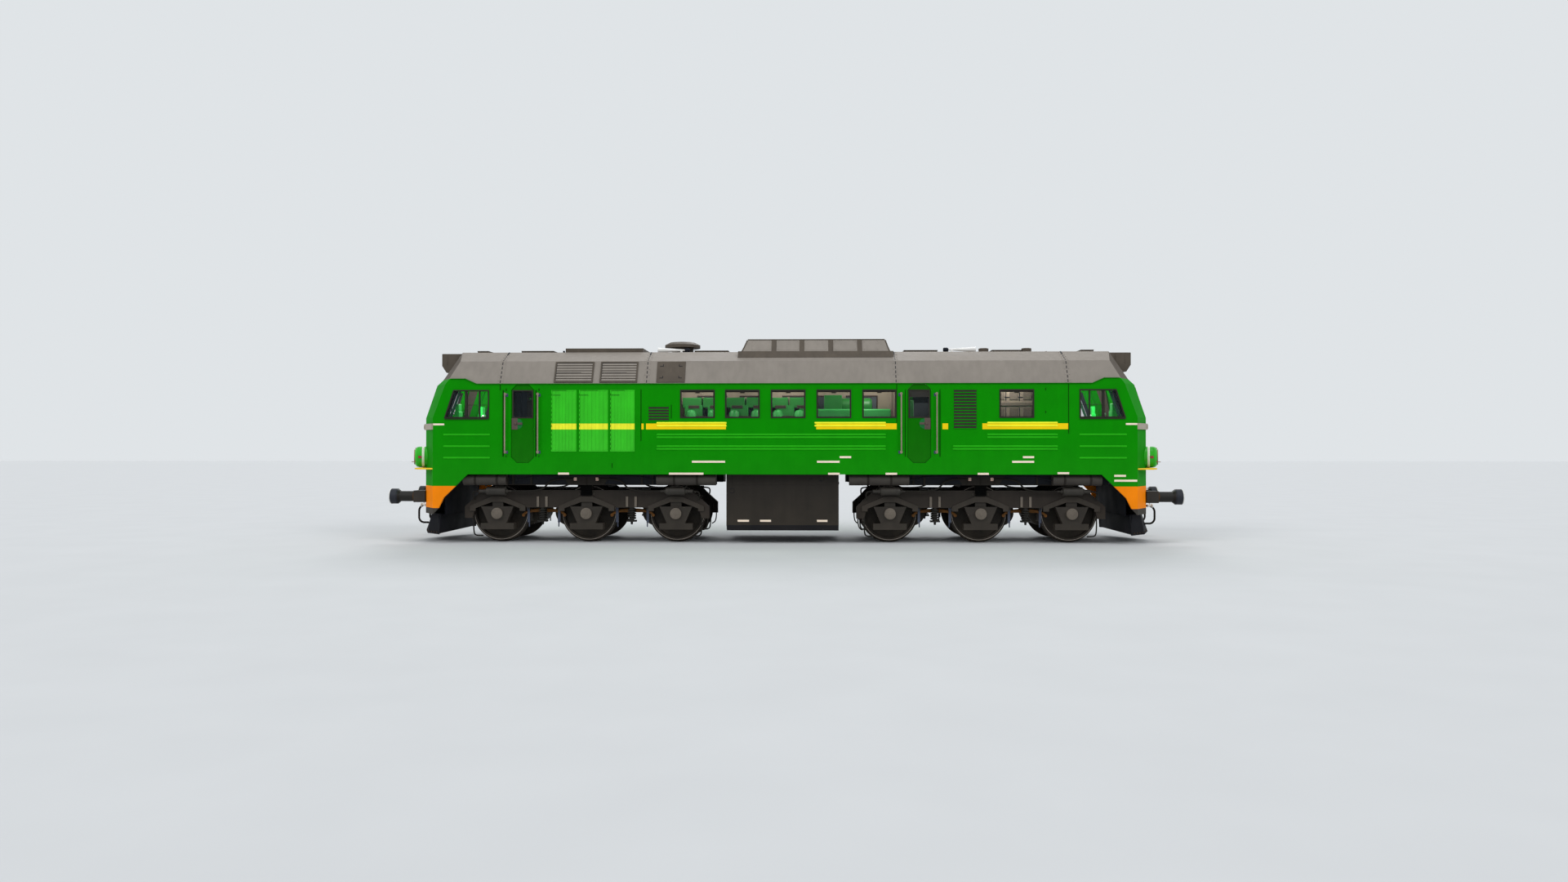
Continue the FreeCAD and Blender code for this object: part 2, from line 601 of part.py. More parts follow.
def plough():
    """Rail guard: a pointed sheet blade under the nose on two hangers."""
    def rows(shift):
        yield "plough_foot", ("plough_tip", "plough_front", "plough_rear"), shift
        yield "plough_top", ("plough_tip_top", "plough_front_top", "plough_rear_top"), shift
    blades = []
    for shift, stretch in (("0", "0"), ("plough_sheet * 1.3", "5")):
        sections = []
        for level, (tip, front, rear), back in rows(shift):
            side = "plough_half - " + ("0" if shift == "0" else "plough_sheet")
            near = "plough_front_half - " + ("0" if shift == "0" else "plough_sheet * 0.5")
            heel = rear if shift == "0" else f"{rear} - 10"
            outline = [(heel, side), (f"{front} - {back}", near), (f"{tip} - {back}", "0"),
                       (f"{front} - {back}", f"-({near})"), (heel, f"-({side})")]
            grow = f"- {stretch}" if level == "plough_foot" else f"+ {stretch}"
            sections.append((f"{level} {grow}", outline))
        blades.append(loft("XY", sections))
    hangers = both_sides(block(("plough_rear + 120", "body_length / 2 - body_wall - 15"),
                               ("hanger_place - hanger_half", "hanger_place + hanger_half"),
                               ("plough_top - 120", "headstock_foot")))
    shelf = common(block(("plough_rear", "plough_tip"), ("-body_width", "body_width"),
                         ("plough_top - 20", "plough_top")), blades[0])
    return fuse(cut(blades[0], blades[1]), shelf, *hangers)


def buffer():
    """Buffer: square base, barrel, and a round head on a flared neck."""
    start = "body_length / 2"
    base = block((start, f"{start} + buffer_base"),
                 ("buffer_place - buffer_base_side / 2", "buffer_place + buffer_base_side / 2"),
                 ("buffer_height - buffer_base_side / 2", "buffer_height + buffer_base_side / 2"))
    at = ("buffer_place", "buffer_height")
    barrel = rod("x", "buffer_barrel", f"buffer_face - {start} - 10", (start, *at))
    head = rod("x", "buffer_head", "buffer_head_thick", ("buffer_face - buffer_head_thick", *at))
    neck = rod("x", "buffer_barrel", "buffer_neck",
               ("buffer_face - buffer_head_thick - buffer_neck", *at), tip="buffer_head")
    return fuse(base, barrel, neck, head)


def draw_hook():
    """Draw hook with its guide plate on the nose."""
    start = "body_length / 2"
    plate = block((start, f"{start} + guide_thick"), ("-guide_wide", "guide_wide"),
                  ("hook_height - guide_high", "hook_height + guide_high"))
    outline = [(start, "hook_height - hook_neck")]
    outline += [(f"{start} + hook_reach - {name}_back", f"hook_height + {name}_rise") for name in HOOK]
    outline += [(start, "hook_height + hook_neck")]
    hook = prism("XZ", [outline], "-hook_thick / 2", "hook_thick / 2")
    return fuse(plate, hook)


def read(name):
    """A size from the sheet as a plain number."""
    return float(sheet.get(name))


def plough_face(side, height):
    """How far forward the blade stands at a distance from the middle and a height."""
    rise = (height - read("plough_foot")) / (read("plough_top") - read("plough_foot"))
    tip = read("plough_tip") + rise * (read("plough_tip_top") - read("plough_tip"))
    front = read("plough_front") + rise * (read("plough_front_top") - read("plough_front"))
    return tip + side / read("plough_front_half") * (front - tip)


def quarter(start, out, down):
    """Quarter turn in the XZ plane that leaves its start along x, or down where out is not first."""
    corner = math.sqrt(0.5)
    if out > 0:
        middle = start + Vector(out * corner, 0, -down * (1 - corner))
    else:
        middle = start + Vector(out * (1 - corner), 0, -down * corner)
    return Part.Arc(start, middle, start + Vector(out, 0, -down))


def brake_hose():
    """Hose that hangs from the nose in a loop and is hooked on the face of the plough."""
    side, bend, hook = read("hose_place"), read("hose_bend"), read("hose_hook")
    begin = Vector(read("body_length") / 2 + read("hose_gap"), side, read("hose_top"))
    knee = Vector(read("body_length") / 2 + read("hose_reach") - bend, side, begin.z)
    fall = knee + Vector(bend, 0, -bend)
    foot = Vector(fall.x, side, read("hose_foot") + hook)
    turn = foot + Vector(-hook, 0, -hook)
    reach = plough_face(side - read("hose_radius"), turn.z - read("hose_radius"))
    end = Vector(reach + read("hose_gap"), side, turn.z)
    path = [Part.LineSegment(begin, knee), quarter(knee, bend, bend), Part.LineSegment(fall, foot),
            quarter(foot, -hook, hook), Part.LineSegment(turn, end)]
    wire = Part.Wire([curve.toShape() for curve in path])
    ring = Part.Wire([Part.Circle(begin, Vector(1, 0, 0), read("hose_radius")).toShape()])
    return wire.makePipeShell([ring], True, False)


# ---------------------------------------------------------------- fittings on the body
def headlight():
    """Roof headlight box, let into the front slope."""
    slope_foot = "body_length / 2 - top_back - (headlight_low - cab_eaves_height) * 0.614"
    box = prism("XZ", [[("body_length / 2 - slope_top_back - 100", "headlight_top"),
                        ("headlight_face", "headlight_top"), ("headlight_face", "headlight_foot"),
                        ("headlight_heel", "headlight_low"), (f"{slope_foot} - 200", "headlight_low"),
                        ("body_length / 2 - slope_top_back - 100", "roof_top_height")]],
                "-headlight_half", "headlight_half")
    return cut(box, cab_roof_solid("0", "cab_joint"))


def lamp_drum():
    """Round lamp housing on the nose, with a domed front."""
    start = "body_length / 2"
    at = ("drum_place", "drum_height")
    return fuse(rod("x", "drum_radius", f"drum_face - {start}", (start, *at)),
                rod("x", "drum_radius - 8", "drum_dome", ("drum_face", *at), tip="drum_radius * 0.55"))


def marker_lamp():
    """Small lamp box wrapped round the nose's corner facet."""
    heel, side = "body_length / 2 - corner_back", "body_width / 2"
    corners = [(heel, side), (f"{heel} + marker_round", f"{side} + marker_side"),
               ("marker_face", "corner_half + marker_side * 0.6"), ("marker_face", "marker_inner"),
               ("body_length / 2 - 250", "marker_inner")]
    return cut(prism("XY", [corners], "marker_foot", "marker_head"), nose_solid())


def fuel_tank():
    """Fuel tank slung under the deck between the bogies, chamfered along its foot."""
    corners = [("tank_half_width", "sole_height"), ("tank_half_width", "tank_foot + tank_corner"),
               ("tank_half_width - tank_corner", "tank_foot")]
    return place(padded_body("YZ_Plane", [mirror_corners(corners)], "tank_half_length * 2"),
                 x="-tank_half_length")


def handrail(name):
    """Upright rail beside a door, on two stubs."""
    level = "body_width / 2 + rail_proud - rail_radius"
    bar = rod("z", "rail_radius", "rail_head - rail_foot", (f"{name}_place", level, "rail_foot"))
    stubs = [rod("y", "rail_stub", "rail_proud - rail_radius", (f"{name}_place", "body_width / 2", height))
             for height in ("rail_foot + 40", "rail_head - 40")]
    return fuse(bar, *stubs)


def side_grille(name, foot, head):
    """Panel that fills its opening in the wall and stands a little proud."""
    return block((f"{name}_start", f"{name}_end"),
                 ("body_width / 2 - grille_thick", "body_width / 2 + grille_proud"), (foot, head))


def roof_panel(name):
    """Panel that lies on the steep lower part of the roof."""
    rise = "(body_width / 2 - roof_knee_half) / (roof_knee_height - eaves_height)"
    corners = []
    for level, out in (("roof_panel_foot", "0"), ("roof_panel_foot", "1"),
                       ("roof_panel_head", "1"), ("roof_panel_head", "0")):
        corners.append((f"body_width / 2 - ({level} - eaves_height) * {rise} + seat_gap"
                        f" + {out} * roof_panel_thick", level))
    return prism("YZ", [corners], f"{name}_start", f"{name}_end")


def fan_shutter():
    """Shutter over the cooling fan: a raised frame with blades across it."""
    foot = "roof_top_height"
    inside = ("fan_start + fan_rim", "fan_end - fan_rim"), ("-fan_half + fan_rim", "fan_half - fan_rim")
    rim = cut(block(("fan_start", "fan_end"), ("-fan_half", "fan_half"), (foot, "fan_top")),
              block(*inside, (f"{foot} - 10", "fan_top + 10")))
    blades = block(*inside, ("fan_top - fan_blade * 2", "fan_top - fan_blade"))
    return fuse(rim, blades)


def exhaust_cowl():
    """Mushroom cowl: a neck and a wide cap with a sloped top."""
    at = ("cowl_place", "0")
    return fuse(rod("z", "cowl_neck", "cowl_foot + 5 - roof_top_height", (*at, "roof_top_height")),
                rod("z", "cowl_radius", "cowl_edge - cowl_foot", (*at, "cowl_foot")),
                rod("z", "cowl_radius", "cowl_top - cowl_edge", (*at, "cowl_edge"), tip="cowl_radius - 110"))


def raised_housing():
    """Long housing over the engine room, with sloping ends and sides."""
    outer = loft("XY", [("housing_foot", rectangle(("housing_start", "housing_end"),
                                                   ("-housing_half", "housing_half"))),
                        ("housing_top", rectangle(("housing_top_start", "housing_top_end"),
                                                  ("-housing_top_half", "housing_top_half")))])
    return cut(outer, prism("YZ", [roof_outline("0")], "-engine_joint_rear", "engine_joint_front"))


def horn(start, first, last, near):
    """Air horn on its foot: a trumpet along the roof that goes from its first radius to its last."""
    height = "roof_top_height + horn_mouth + horn_gap"
    trumpet = rod("x", first, "horn_length", (start, "horn_side", height), tip=last)
    foot = block((f"{start} + {near}", f"{start} + {near} + horn_foot_long"),
                 ("horn_side - 20", "horn_side + 20"),
                 ("roof_top_height", height))
    return fuse(trumpet, foot)


# ---------------------------------------------------------------- inside
def diesel_engine():
    """Engine block with two rows of cylinder covers, and the sump on the deck."""
    foot = "sole_height + deck_thick"
    base = block(("engine_start", "engine_end"), ("-engine_half", "engine_half"), (foot, "engine_top"))
    covers = []
    for number in range(int(read("head_count"))):
        start = f"engine_start + {number} * head_pitch + head_gap"
        covers.append(block((start, f"{start} + head_length"), ("head_inner", "head_outer"),
                            ("engine_top", "head_top")))
    return fuse(base, *both_sides(*covers))


def main_generator():
    """Main generator on its pedestal, coupled to the engine's end."""
    at = ("0", "generator_height")
    return fuse(rod("x", "generator_radius", "generator_end - generator_start", ("generator_start", *at)),
                rod("x", "coupling_radius", "generator_start - engine_end + 10", ("engine_end", *at)),
                block(("generator_start + 150", "generator_end - 150"), ("-400", "400"),
                      ("sole_height + deck_thick", "generator_height")))


def control_desk():
    """Driver's desk across the cab under the windscreens."""
    floor = "sole_height + deck_thick"
    return prism("XZ", [[("desk_heel + desk_knee", floor), ("desk_front", floor), ("desk_front", "desk_top"),
                         ("desk_heel + desk_slope", "desk_top"), ("desk_heel", "desk_lip"),
                         ("desk_heel", "desk_lip - desk_edge"),
                         ("desk_heel + desk_knee", "desk_lip - desk_edge * 2")]], "-desk_half", "desk_half")


def driver_seat():
    """Seat on a post, with an upright back."""
    span = ("seat_place - seat_half", "seat_place + seat_half")
    foot = "seat_height - seat_thick"
    cushion = block(("seat_heel", "seat_heel + seat_depth"), span, (foot, "seat_height"))
    back = block(("seat_heel - seat_back_thick", "seat_heel"), span, (foot, "seat_back_top"))
    post = rod("z", "seat_post", f"{foot} + 5 - sole_height - deck_thick",
               ("seat_heel + seat_depth / 2", "seat_place", "sole_height + deck_thick"))
    return fuse(cushion, back, post)


# ---------------------------------------------------------------- bogies
AXLES = (("outer", "axle_spacing", -1), ("middle", "0", 1), ("inner", "-axle_spacing", 1))


def arch(x, inset, foot):
    """Outline of the opening over one axle box."""
    side = f"arch_half - {inset}"
    return [(f"{x} - ({side})", foot), (f"{x} - ({side})", f"arch_side - {inset} * 0.4"),
            (f"{x} - arch_flat", f"arch_top - {inset}"), (f"{x} + arch_flat", f"arch_top - {inset}"),
            (f"{x} + ({side})", f"arch_side - {inset} * 0.4"), (f"{x} + ({side})", foot)]


def side_frame():
    """Bogie side frame: a deep plate with an arch over each axle box and a raised rim round it."""
    outline = mirror_corners([("frame_shoulder", "frame_top"), ("frame_end", "frame_end_top"),
                              ("frame_end", "frame_end_foot"), ("frame_end - 170", "frame_end_foot"),
                              ("axle_spacing + arch_half + 10", "frame_foot")])
    openings = [arch(x, "0", "frame_end_foot") for _, x, _ in AXLES]
    plate = padded_body("XZ_Plane", [outline], "frame_outer - frame_inner")
    place(plate, y="frame_outer")
    cutters = prism("XZ", openings, "frame_inner - 10", "frame_outer + pad_proud + 10")
    rims = [prism("XZ", [arch(x, "-pad_deep", "arch_side - 60")], "frame_outer", "frame_outer + pad_proud")
            for _, x, _ in AXLES]
    return cut(fuse(plate, *rims), cutters)


def bogie_frame():
    """Two side frames, two transoms, the spine with its pivot hole, and the side bearers."""
    transom = block(("transom_place - transom_half", "transom_place + transom_half"),
                    ("-frame_inner", "frame_inner"), ("transom_foot", "transom_top"))
    spine = block(("-transom_place", "transom_place"), ("-spine_half", "spine_half"),
                  ("spine_foot", "frame_top"))
    hole = rod("z", "pivot_radius + pivot_clear", "frame_top", ("0", "0", "spine_foot - 100"))
    bearer = block(("-bearer_half", "bearer_half"), ("bearer_inner", "bearer_outer"),
                   ("frame_top", "bracket_foot - seat_gap"))
    return cut(fuse(*both_sides(side_frame(), bearer), *both_ends(transom), spine), hole)


def axle_box(x):
    """Axle box: a tapered casting on a keeper bar, bored for the journal, with a round cover."""
    body = prism("XZ", [[(f"{x} - box_top_half", "box_top"), (f"{x} - box_foot_half", "box_foot"),
                         (f"{x} + box_foot_half", "box_foot"), (f"{x} + box_top_half", "box_top")]],
                 "box_inner", "box_outer")
    bar = block((f"{x} - bar_half", f"{x} + bar_half"), ("box_inner", "box_outer"), ("bar_foot", "box_foot"))
    neck = block((f"{x} - arch_flat", f"{x} + arch_flat"), ("frame_inner", "frame_outer"),
                 ("box_top", "arch_top"))
    cover = rod("y", "cover_radius", "cover_thick", (x, "box_outer", "axle_height"))
    bore = rod("y", "journal_radius + journal_clear", "axle_end + journal_end_gap - box_inner + 10",
               (x, "box_inner - 10", "axle_height"))
    return cut(fuse(body, bar, neck, cover), bore)


def suspension():
    """Axle boxes with the coil springs that stand beside them."""
    middle = "(frame_inner + frame_outer) / 2"
    springs = [fuse(rod("z", "spring_radius", "frame_foot - spring_foot", (x, middle, "spring_foot")),
                    block((f"{x} - spring_seat_half", f"{x} + spring_seat_half"),
                          ("frame_inner", "frame_outer"),
                          ("spring_foot - spring_seat_thick", "spring_foot")))
               for x in ("spring_place", "-spring_place")]
    return group(*both_sides(*(axle_box(x) for _, x, _ in AXLES), *springs))


def traction_motors():
    """Axle-hung motors, each with its bearing sleeves round the axle."""
    motors = []
    for _, x, side in AXLES:
        centre = f"{x} + {side} * motor_place"
        barrel = rod("y", "motor_radius", "motor_half * 2", (centre, "-motor_half", "axle_height"))
        start = "sleeve_place - sleeve_length / 2"
        arms = both_sides(block((x, centre) if side > 0 else (centre, x), (start, f"{start} + sleeve_length"),
                                ("axle_height - motor_arm_half", "axle_height + motor_arm_half")),
                          rod("y", "sleeve_radius", "sleeve_length", (x, start, "axle_height")))
        hang = f"{x} + {side} * (transom_place - link_inset)"
        near, far = f"{centre} + {side} * nose_near", f"{hang} + {side} * link_half"
        nose = block((near, far) if side > 0 else (far, near), ("-nose_half", "nose_half"),
                     ("axle_height + nose_low", "axle_height + nose_high"))
        link = block((f"{hang} - link_half", f"{hang} + link_half"), ("-nose_half", "nose_half"),
                     ("axle_height + nose_high", "transom_foot"))
        hole = rod("y", "axle_radius + sleeve_clear", "motor_half * 2 + 20",
                   (x, "-motor_half - 10", "axle_height"))
        motors.append(cut(fuse(barrel, *arms, nose, link), hole))
    return group(*motors)


def brake_gear():
    """Brake shoes on hangers beside each wheel, pull bars, and a cylinder on each side."""
    items = []
    reach = "tread_radius + shoe_gap"
    for _, x, side in AXLES:
        near, far = f"{x} + {side} * ({reach})", f"{x} + {side} * ({reach} + shoe_thick)"
        shoe = block((near, far) if side > 0 else (far, near), ("shoe_inner", "shoe_outer"),
                     ("shoe_foot", "shoe_top"))
        middle = f"{x} + {side} * ({reach} + shoe_thick / 2)"
        span = (f"{middle} - arm_half", f"{middle} + arm_half")
        arm = block(span, ("shoe_inner", "frame_inner"), ("shoe_top - arm_thick", "shoe_top"))
        plate = block(span, ("frame_inner - arm_thick", "frame_inner"),
                      ("shoe_top - arm_thick", "frame_foot + 60"))
        items.append(fuse(shoe, arm, plate))
    tube = rod("x", "cylinder_radius", "cylinder_length",
               ("axle_spacing - cylinder_length / 2", "frame_outer + cylinder_radius + seat_gap",
                "cylinder_height"))
    return group(*both_sides(*items, tube))


def wheelset(front, place_):
    """Axle with two flanged wheels, turned as one."""
    rim, crest = "tread_radius - rim_depth", "tread_radius + flange_height"
    corners = [("0", "-axle_end"), ("journal_radius", "-axle_end"), ("journal_radius", "-journal_start"),
               ("axle_radius", "-journal_start"), ("axle_radius", "-hub_face"), ("hub_radius", "-hub_face"),
               ("hub_radius", "-web_far"), (rim, "-web_far"), (rim, "-wheel_face"),
               ("tread_radius - 4", "-wheel_face"), ("tread_radius", "-wheel_back - flange_thick - 12"),
               (crest, "-wheel_back - flange_thick / 2"), (crest, "-wheel_back - 8"),
               (f"{crest} - 8", "-wheel_back"), (rim, "-wheel_back"), (rim, "-web_near"),
               ("hub_radius", "-web_near"), ("hub_radius", "-wheel_back + 10"),
               ("axle_radius", "-wheel_back + 10")]
    other = [(x, f"-({y})") for x, y in reversed(corners)]
    owner = turned_body(corners + other, "V_Axis")
    return place(owner, x=f"{front} * (pivot_spacing / 2 + {place_})", z="axle_height")


def at_pivot(label, thing, front):
    """Place a bogie piece at the front pivot, or turned round at the rear one."""
    holder = group(thing)
    holder.Placement = FreeCAD.Placement(Vector(), FreeCAD.Rotation(Vector(0, 0, 1), 0 if front > 0 else 180))
    piece(label, place(holder, x=f"{front} * pivot_spacing / 2"))


# ---------------------------------------------------------------- the assembly
wall = side_wall()
piece("side_wall_left", wall)
piece("side_wall_right", mirrored(wall, ACROSS))
front_nose = nose()
piece("nose_front", front_nose)
piece("nose_rear", mirrored(front_nose, ALONG))
front_roof = cab_roof()
piece("cab_roof_front", front_roof)
piece("cab_roof_rear", mirrored(front_roof, ALONG))
piece("roof_cooling", roof_section("-cab_joint", "-engine_joint_rear"))
piece("roof_engine", roof_section("-engine_joint_rear", "engine_joint_front"))
piece("roof_electrical", roof_section("engine_joint_front", "cab_joint"))
piece("bulkheads", bulkheads())
piece("window_glass", windows())
piece("windscreens", windscreens())
piece("underframe", underframe())
piece("ploughs", group(*both_ends(plough())))
piece("buffers", group(*both_ends(*both_sides(buffer()))))
piece("draw_hooks", group(*both_ends(draw_hook())))
hose = doc.addObject("Part::Feature", "hose")
hose.Shape = brake_hose()
piece("brake_hoses", group(*both_ends(*both_sides(hose))))
piece("roof_headlights", group(*both_ends(headlight())))
piece("lamp_drums", group(*both_ends(*both_sides(lamp_drum()))))
piece("marker_lamps", group(*both_ends(*both_sides(marker_lamp()))))
piece("fuel_tank", fuel_tank())
piece("air_reservoirs", group(*both_sides(*(
    rod("x", "reservoir_radius", f"{name}_end - {name}_start",
        (f"{name}_start", "reservoir_place", "sole_height - reservoir_radius - seat_gap"))
    for name in RESERVOIRS))))
piece("handrails", group(*both_sides(*(handrail(name) for name in RAILS))))
piece("radiator_shutters", group(*both_sides(*(
    side_grille(name, "shutter_foot", "shutter_head") for name in SHUTTERS))))
piece("side_louvres", group(*both_sides(*(
    side_grille(name, f"{name}_foot", f"{name}_head") for name in LOUVRES))))
piece("roof_panels", group(*both_sides(*(roof_panel(name) for name in ROOF_PANELS))))
piece("fan_shutter", fan_shutter())
piece("exhaust_cowl", exhaust_cowl())
piece("raised_housing", raised_housing())
piece("roof_hatches", group(*(
    block((f"{name}_start", f"{name}_end"), ("-hatch_half", "hatch_half"),
          ("roof_top_height", "roof_top_height + hatch_high")) for name in HATCHES), *(
    rod("z", "vent_radius", "vent_high", (name, "vent_side", "roof_top_height"))
    for name in ("vent_a", "vent_b"))))
piece("horns", group(horn("horn_front", "horn_throat", "horn_mouth", "horn_foot_near"),
                     horn("horn_rear", "horn_mouth", "horn_throat", "horn_foot_far")))
piece("diesel_engine", diesel_engine())
piece("main_generator", main_generator())
piece("electrical_cabinet", block(("cabinet_start", "cabinet_end"), ("-cabinet_half", "cabinet_half"),
                                  ("sole_height + deck_thick", "cabinet_top")))
piece("control_desks", group(*both_ends(control_desk())))
piece("driver_seats", group(*both_ends(*both_sides(driver_seat()))))
for name, edge, side in HINGES:
    leaf = door(name, edge, side)
    piece(f"{name}_left", leaf)
    piece(f"{name}_right", mirrored(leaf, ACROSS))
for end, front in (("front", 1), ("rear", -1)):
    at_pivot(f"bogie_frame_{end}", bogie_frame(), front)
    at_pivot(f"axle_boxes_{end}", suspension(), front)
    at_pivot(f"traction_motors_{end}", traction_motors(), front)
    at_pivot(f"brake_gear_{end}", brake_gear(), front)
    for row, x, _ in AXLES:
        piece(f"wheelset_{end}_{row}", wheelset(front, x))

doc.recompute()
faults = [item.Name for item in doc.Objects if {"Invalid", "Error"} & set(item.State)]
faults += [label for label, thing in pieces.items() if thing.Shape.isNull() or not thing.Shape.isValid()]
if faults:
    raise SystemExit(f"failed objects: {faults}")
os.makedirs("parts", exist_ok=True)
for label, thing in pieces.items():
    thing.Shape.exportStep(f"parts/{label}.step")
    box = thing.Shape.BoundBox
    print(f"{label:24s} {len(thing.Shape.Solids):3d} solids {thing.Shape.Volume / 1e9:8.3f} m3 "
          f" x {box.XMin:6.0f} {box.XMax:6.0f}  y {box.YMin:6.0f} {box.YMax:6.0f}"
          f"  z {box.ZMin:5.0f} {box.ZMax:5.0f}")
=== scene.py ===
import bpy
import bmesh
import math
from mathutils import Matrix, Vector


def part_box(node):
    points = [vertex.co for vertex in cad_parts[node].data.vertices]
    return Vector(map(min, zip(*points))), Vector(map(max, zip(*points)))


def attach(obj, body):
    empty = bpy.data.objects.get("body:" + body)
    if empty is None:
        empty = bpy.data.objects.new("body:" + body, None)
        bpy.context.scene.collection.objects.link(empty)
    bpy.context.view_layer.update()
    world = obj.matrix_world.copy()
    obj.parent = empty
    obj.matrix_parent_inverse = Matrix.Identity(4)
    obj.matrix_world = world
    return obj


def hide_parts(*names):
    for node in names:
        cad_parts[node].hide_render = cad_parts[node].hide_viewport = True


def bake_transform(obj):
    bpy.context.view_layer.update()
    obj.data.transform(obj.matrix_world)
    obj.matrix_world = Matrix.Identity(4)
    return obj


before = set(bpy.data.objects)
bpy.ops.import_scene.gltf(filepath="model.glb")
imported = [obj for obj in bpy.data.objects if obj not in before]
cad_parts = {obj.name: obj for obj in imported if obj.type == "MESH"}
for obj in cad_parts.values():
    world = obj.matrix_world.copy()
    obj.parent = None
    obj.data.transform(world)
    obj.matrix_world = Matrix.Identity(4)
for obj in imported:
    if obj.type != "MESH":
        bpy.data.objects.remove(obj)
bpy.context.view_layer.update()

# ------------------------------------------------------------------ studio floor, camera and lamps
# A pale studio: one sheet of painted board for the floor, a plain pale air behind it, and
# wide soft lamps on both sides of the camera so that both ends of the locomotive are lit alike.


def solid_box(bm, one, other):
    """A block between two opposite corners."""
    low, high = (Vector([pick(pair) for pair in zip(one, other)]) for pick in (min, max))
    verts = bmesh.ops.create_cube(bm, size=1)["verts"]
    bmesh.ops.scale(bm, vec=high - low, verts=verts)
    bmesh.ops.translate(bm, vec=(low + high) / 2, verts=verts)
    return verts


def mesh_of(bm, name):
    """A mesh of all that was built."""
    mesh = bpy.data.meshes.new(name)
    bm.to_mesh(mesh)
    bm.free()
    return mesh


def placed(name, data):
    """A new object in the scene."""
    thing = bpy.data.objects.new(name, data)
    bpy.context.scene.collection.objects.link(thing)
    return thing


def pale_air(nodes, links, strength):
    """Plain white light that the camera, glossy and transmitted rays see at one strength."""
    path = nodes.new("ShaderNodeLightPath")
    seen = nodes.new("ShaderNodeMath")
    seen.operation = "MAXIMUM"
    links.new(path.outputs["Is Camera Ray"], seen.inputs[0])
    links.new(path.outputs["Is Glossy Ray"], seen.inputs[1])
    both = nodes.new("ShaderNodeMath")
    both.operation = "MAXIMUM"
    links.new(seen.outputs[0], both.inputs[0])
    links.new(path.outputs["Is Transmission Ray"], both.inputs[1])
    level = nodes.new("ShaderNodeMapRange")
    level.inputs["To Min"].default_value, level.inputs["To Max"].default_value = strength
    links.new(both.outputs[0], level.inputs["Value"])
    return level.outputs["Result"]


FLOOR_REACH = 160
bm = bmesh.new()
bmesh.ops.create_grid(bm, x_segments=8, y_segments=8, size=FLOOR_REACH)
floor = placed("studio_floor", mesh_of(bm, "studio_floor"))
board = bpy.data.materials.new("floor_board")
board.use_nodes = True
nodes, links = board.node_tree.nodes, board.node_tree.links
shader = nodes["Principled BSDF"]
shader.inputs["Roughness"].default_value = 0.9
grain = nodes.new("ShaderNodeTexNoise")
grain.inputs["Scale"].default_value = 0.8
pale = nodes.new("ShaderNodeValToRGB")
pale.color_ramp.elements[0].color = (0.57, 0.585, 0.60, 1)
pale.color_ramp.elements[1].color = (0.61, 0.625, 0.64, 1)
place = nodes.new("ShaderNodeTexCoord")
links.new(place.outputs["Object"], grain.inputs["Vector"])
links.new(grain.outputs["Fac"], pale.inputs["Fac"])
links.new(pale.outputs["Color"], shader.inputs["Base Color"])
floor.data.materials.append(board)

world = bpy.data.worlds.new("studio_air")
bpy.context.scene.world = world
world.use_nodes = True
air = world.node_tree.nodes["Background"]
air.inputs["Color"].default_value = (0.93, 0.97, 1.0, 1)
links = world.node_tree.links
links.new(pale_air(world.node_tree.nodes, links, (0.50, 0.80)), air.inputs["Strength"])

bpy.context.scene.view_settings.view_transform = "Standard"
LENS, SENSOR, FAR = 24.44, 36, 500
lens = bpy.data.cameras.new("camera")
lens.lens, lens.sensor_width, lens.clip_end = LENS, SENSOR, FAR
camera = placed("camera", lens)
camera.location = (0.623, -24.509, 2.060)
camera.rotation_euler = (Vector((0, 0, 2.251)) - camera.location).to_track_quat("-Z", "Y").to_euler()
bpy.context.scene.camera = camera

for name, turn, height, power in (("lamp_left", -52, 34, 0.85), ("lamp_right", 52, 34, 0.85),
                                  ("lamp_behind", 180, 40, 0.9), ("lamp_over", 0, 80, 0.5)):
    sun = bpy.data.lights.new(name, "SUN")
    sun.energy, sun.angle = power, math.radians(25)
    placed(name, sun).rotation_euler = (math.radians(90 - height), 0, math.radians(turn))

# ------------------------------------------------------------------ side walls
# The two sides of the body: steel sheet welded on a frame, with ribs pressed along it for
# stiffness, sprayed green with a yellow stripe in lengths and an orange foot at both ends.


def tint(code):
    """The colour of a paint chart's code, as the linear values that a shader takes."""
    parts = [int(code[i:i + 2], 16) / 255 for i in (0, 2, 4)]
    return [p / 12.92 if p <= 0.04045 else ((p + 0.055) / 1.055) ** 2.4 for p in parts] + [1]


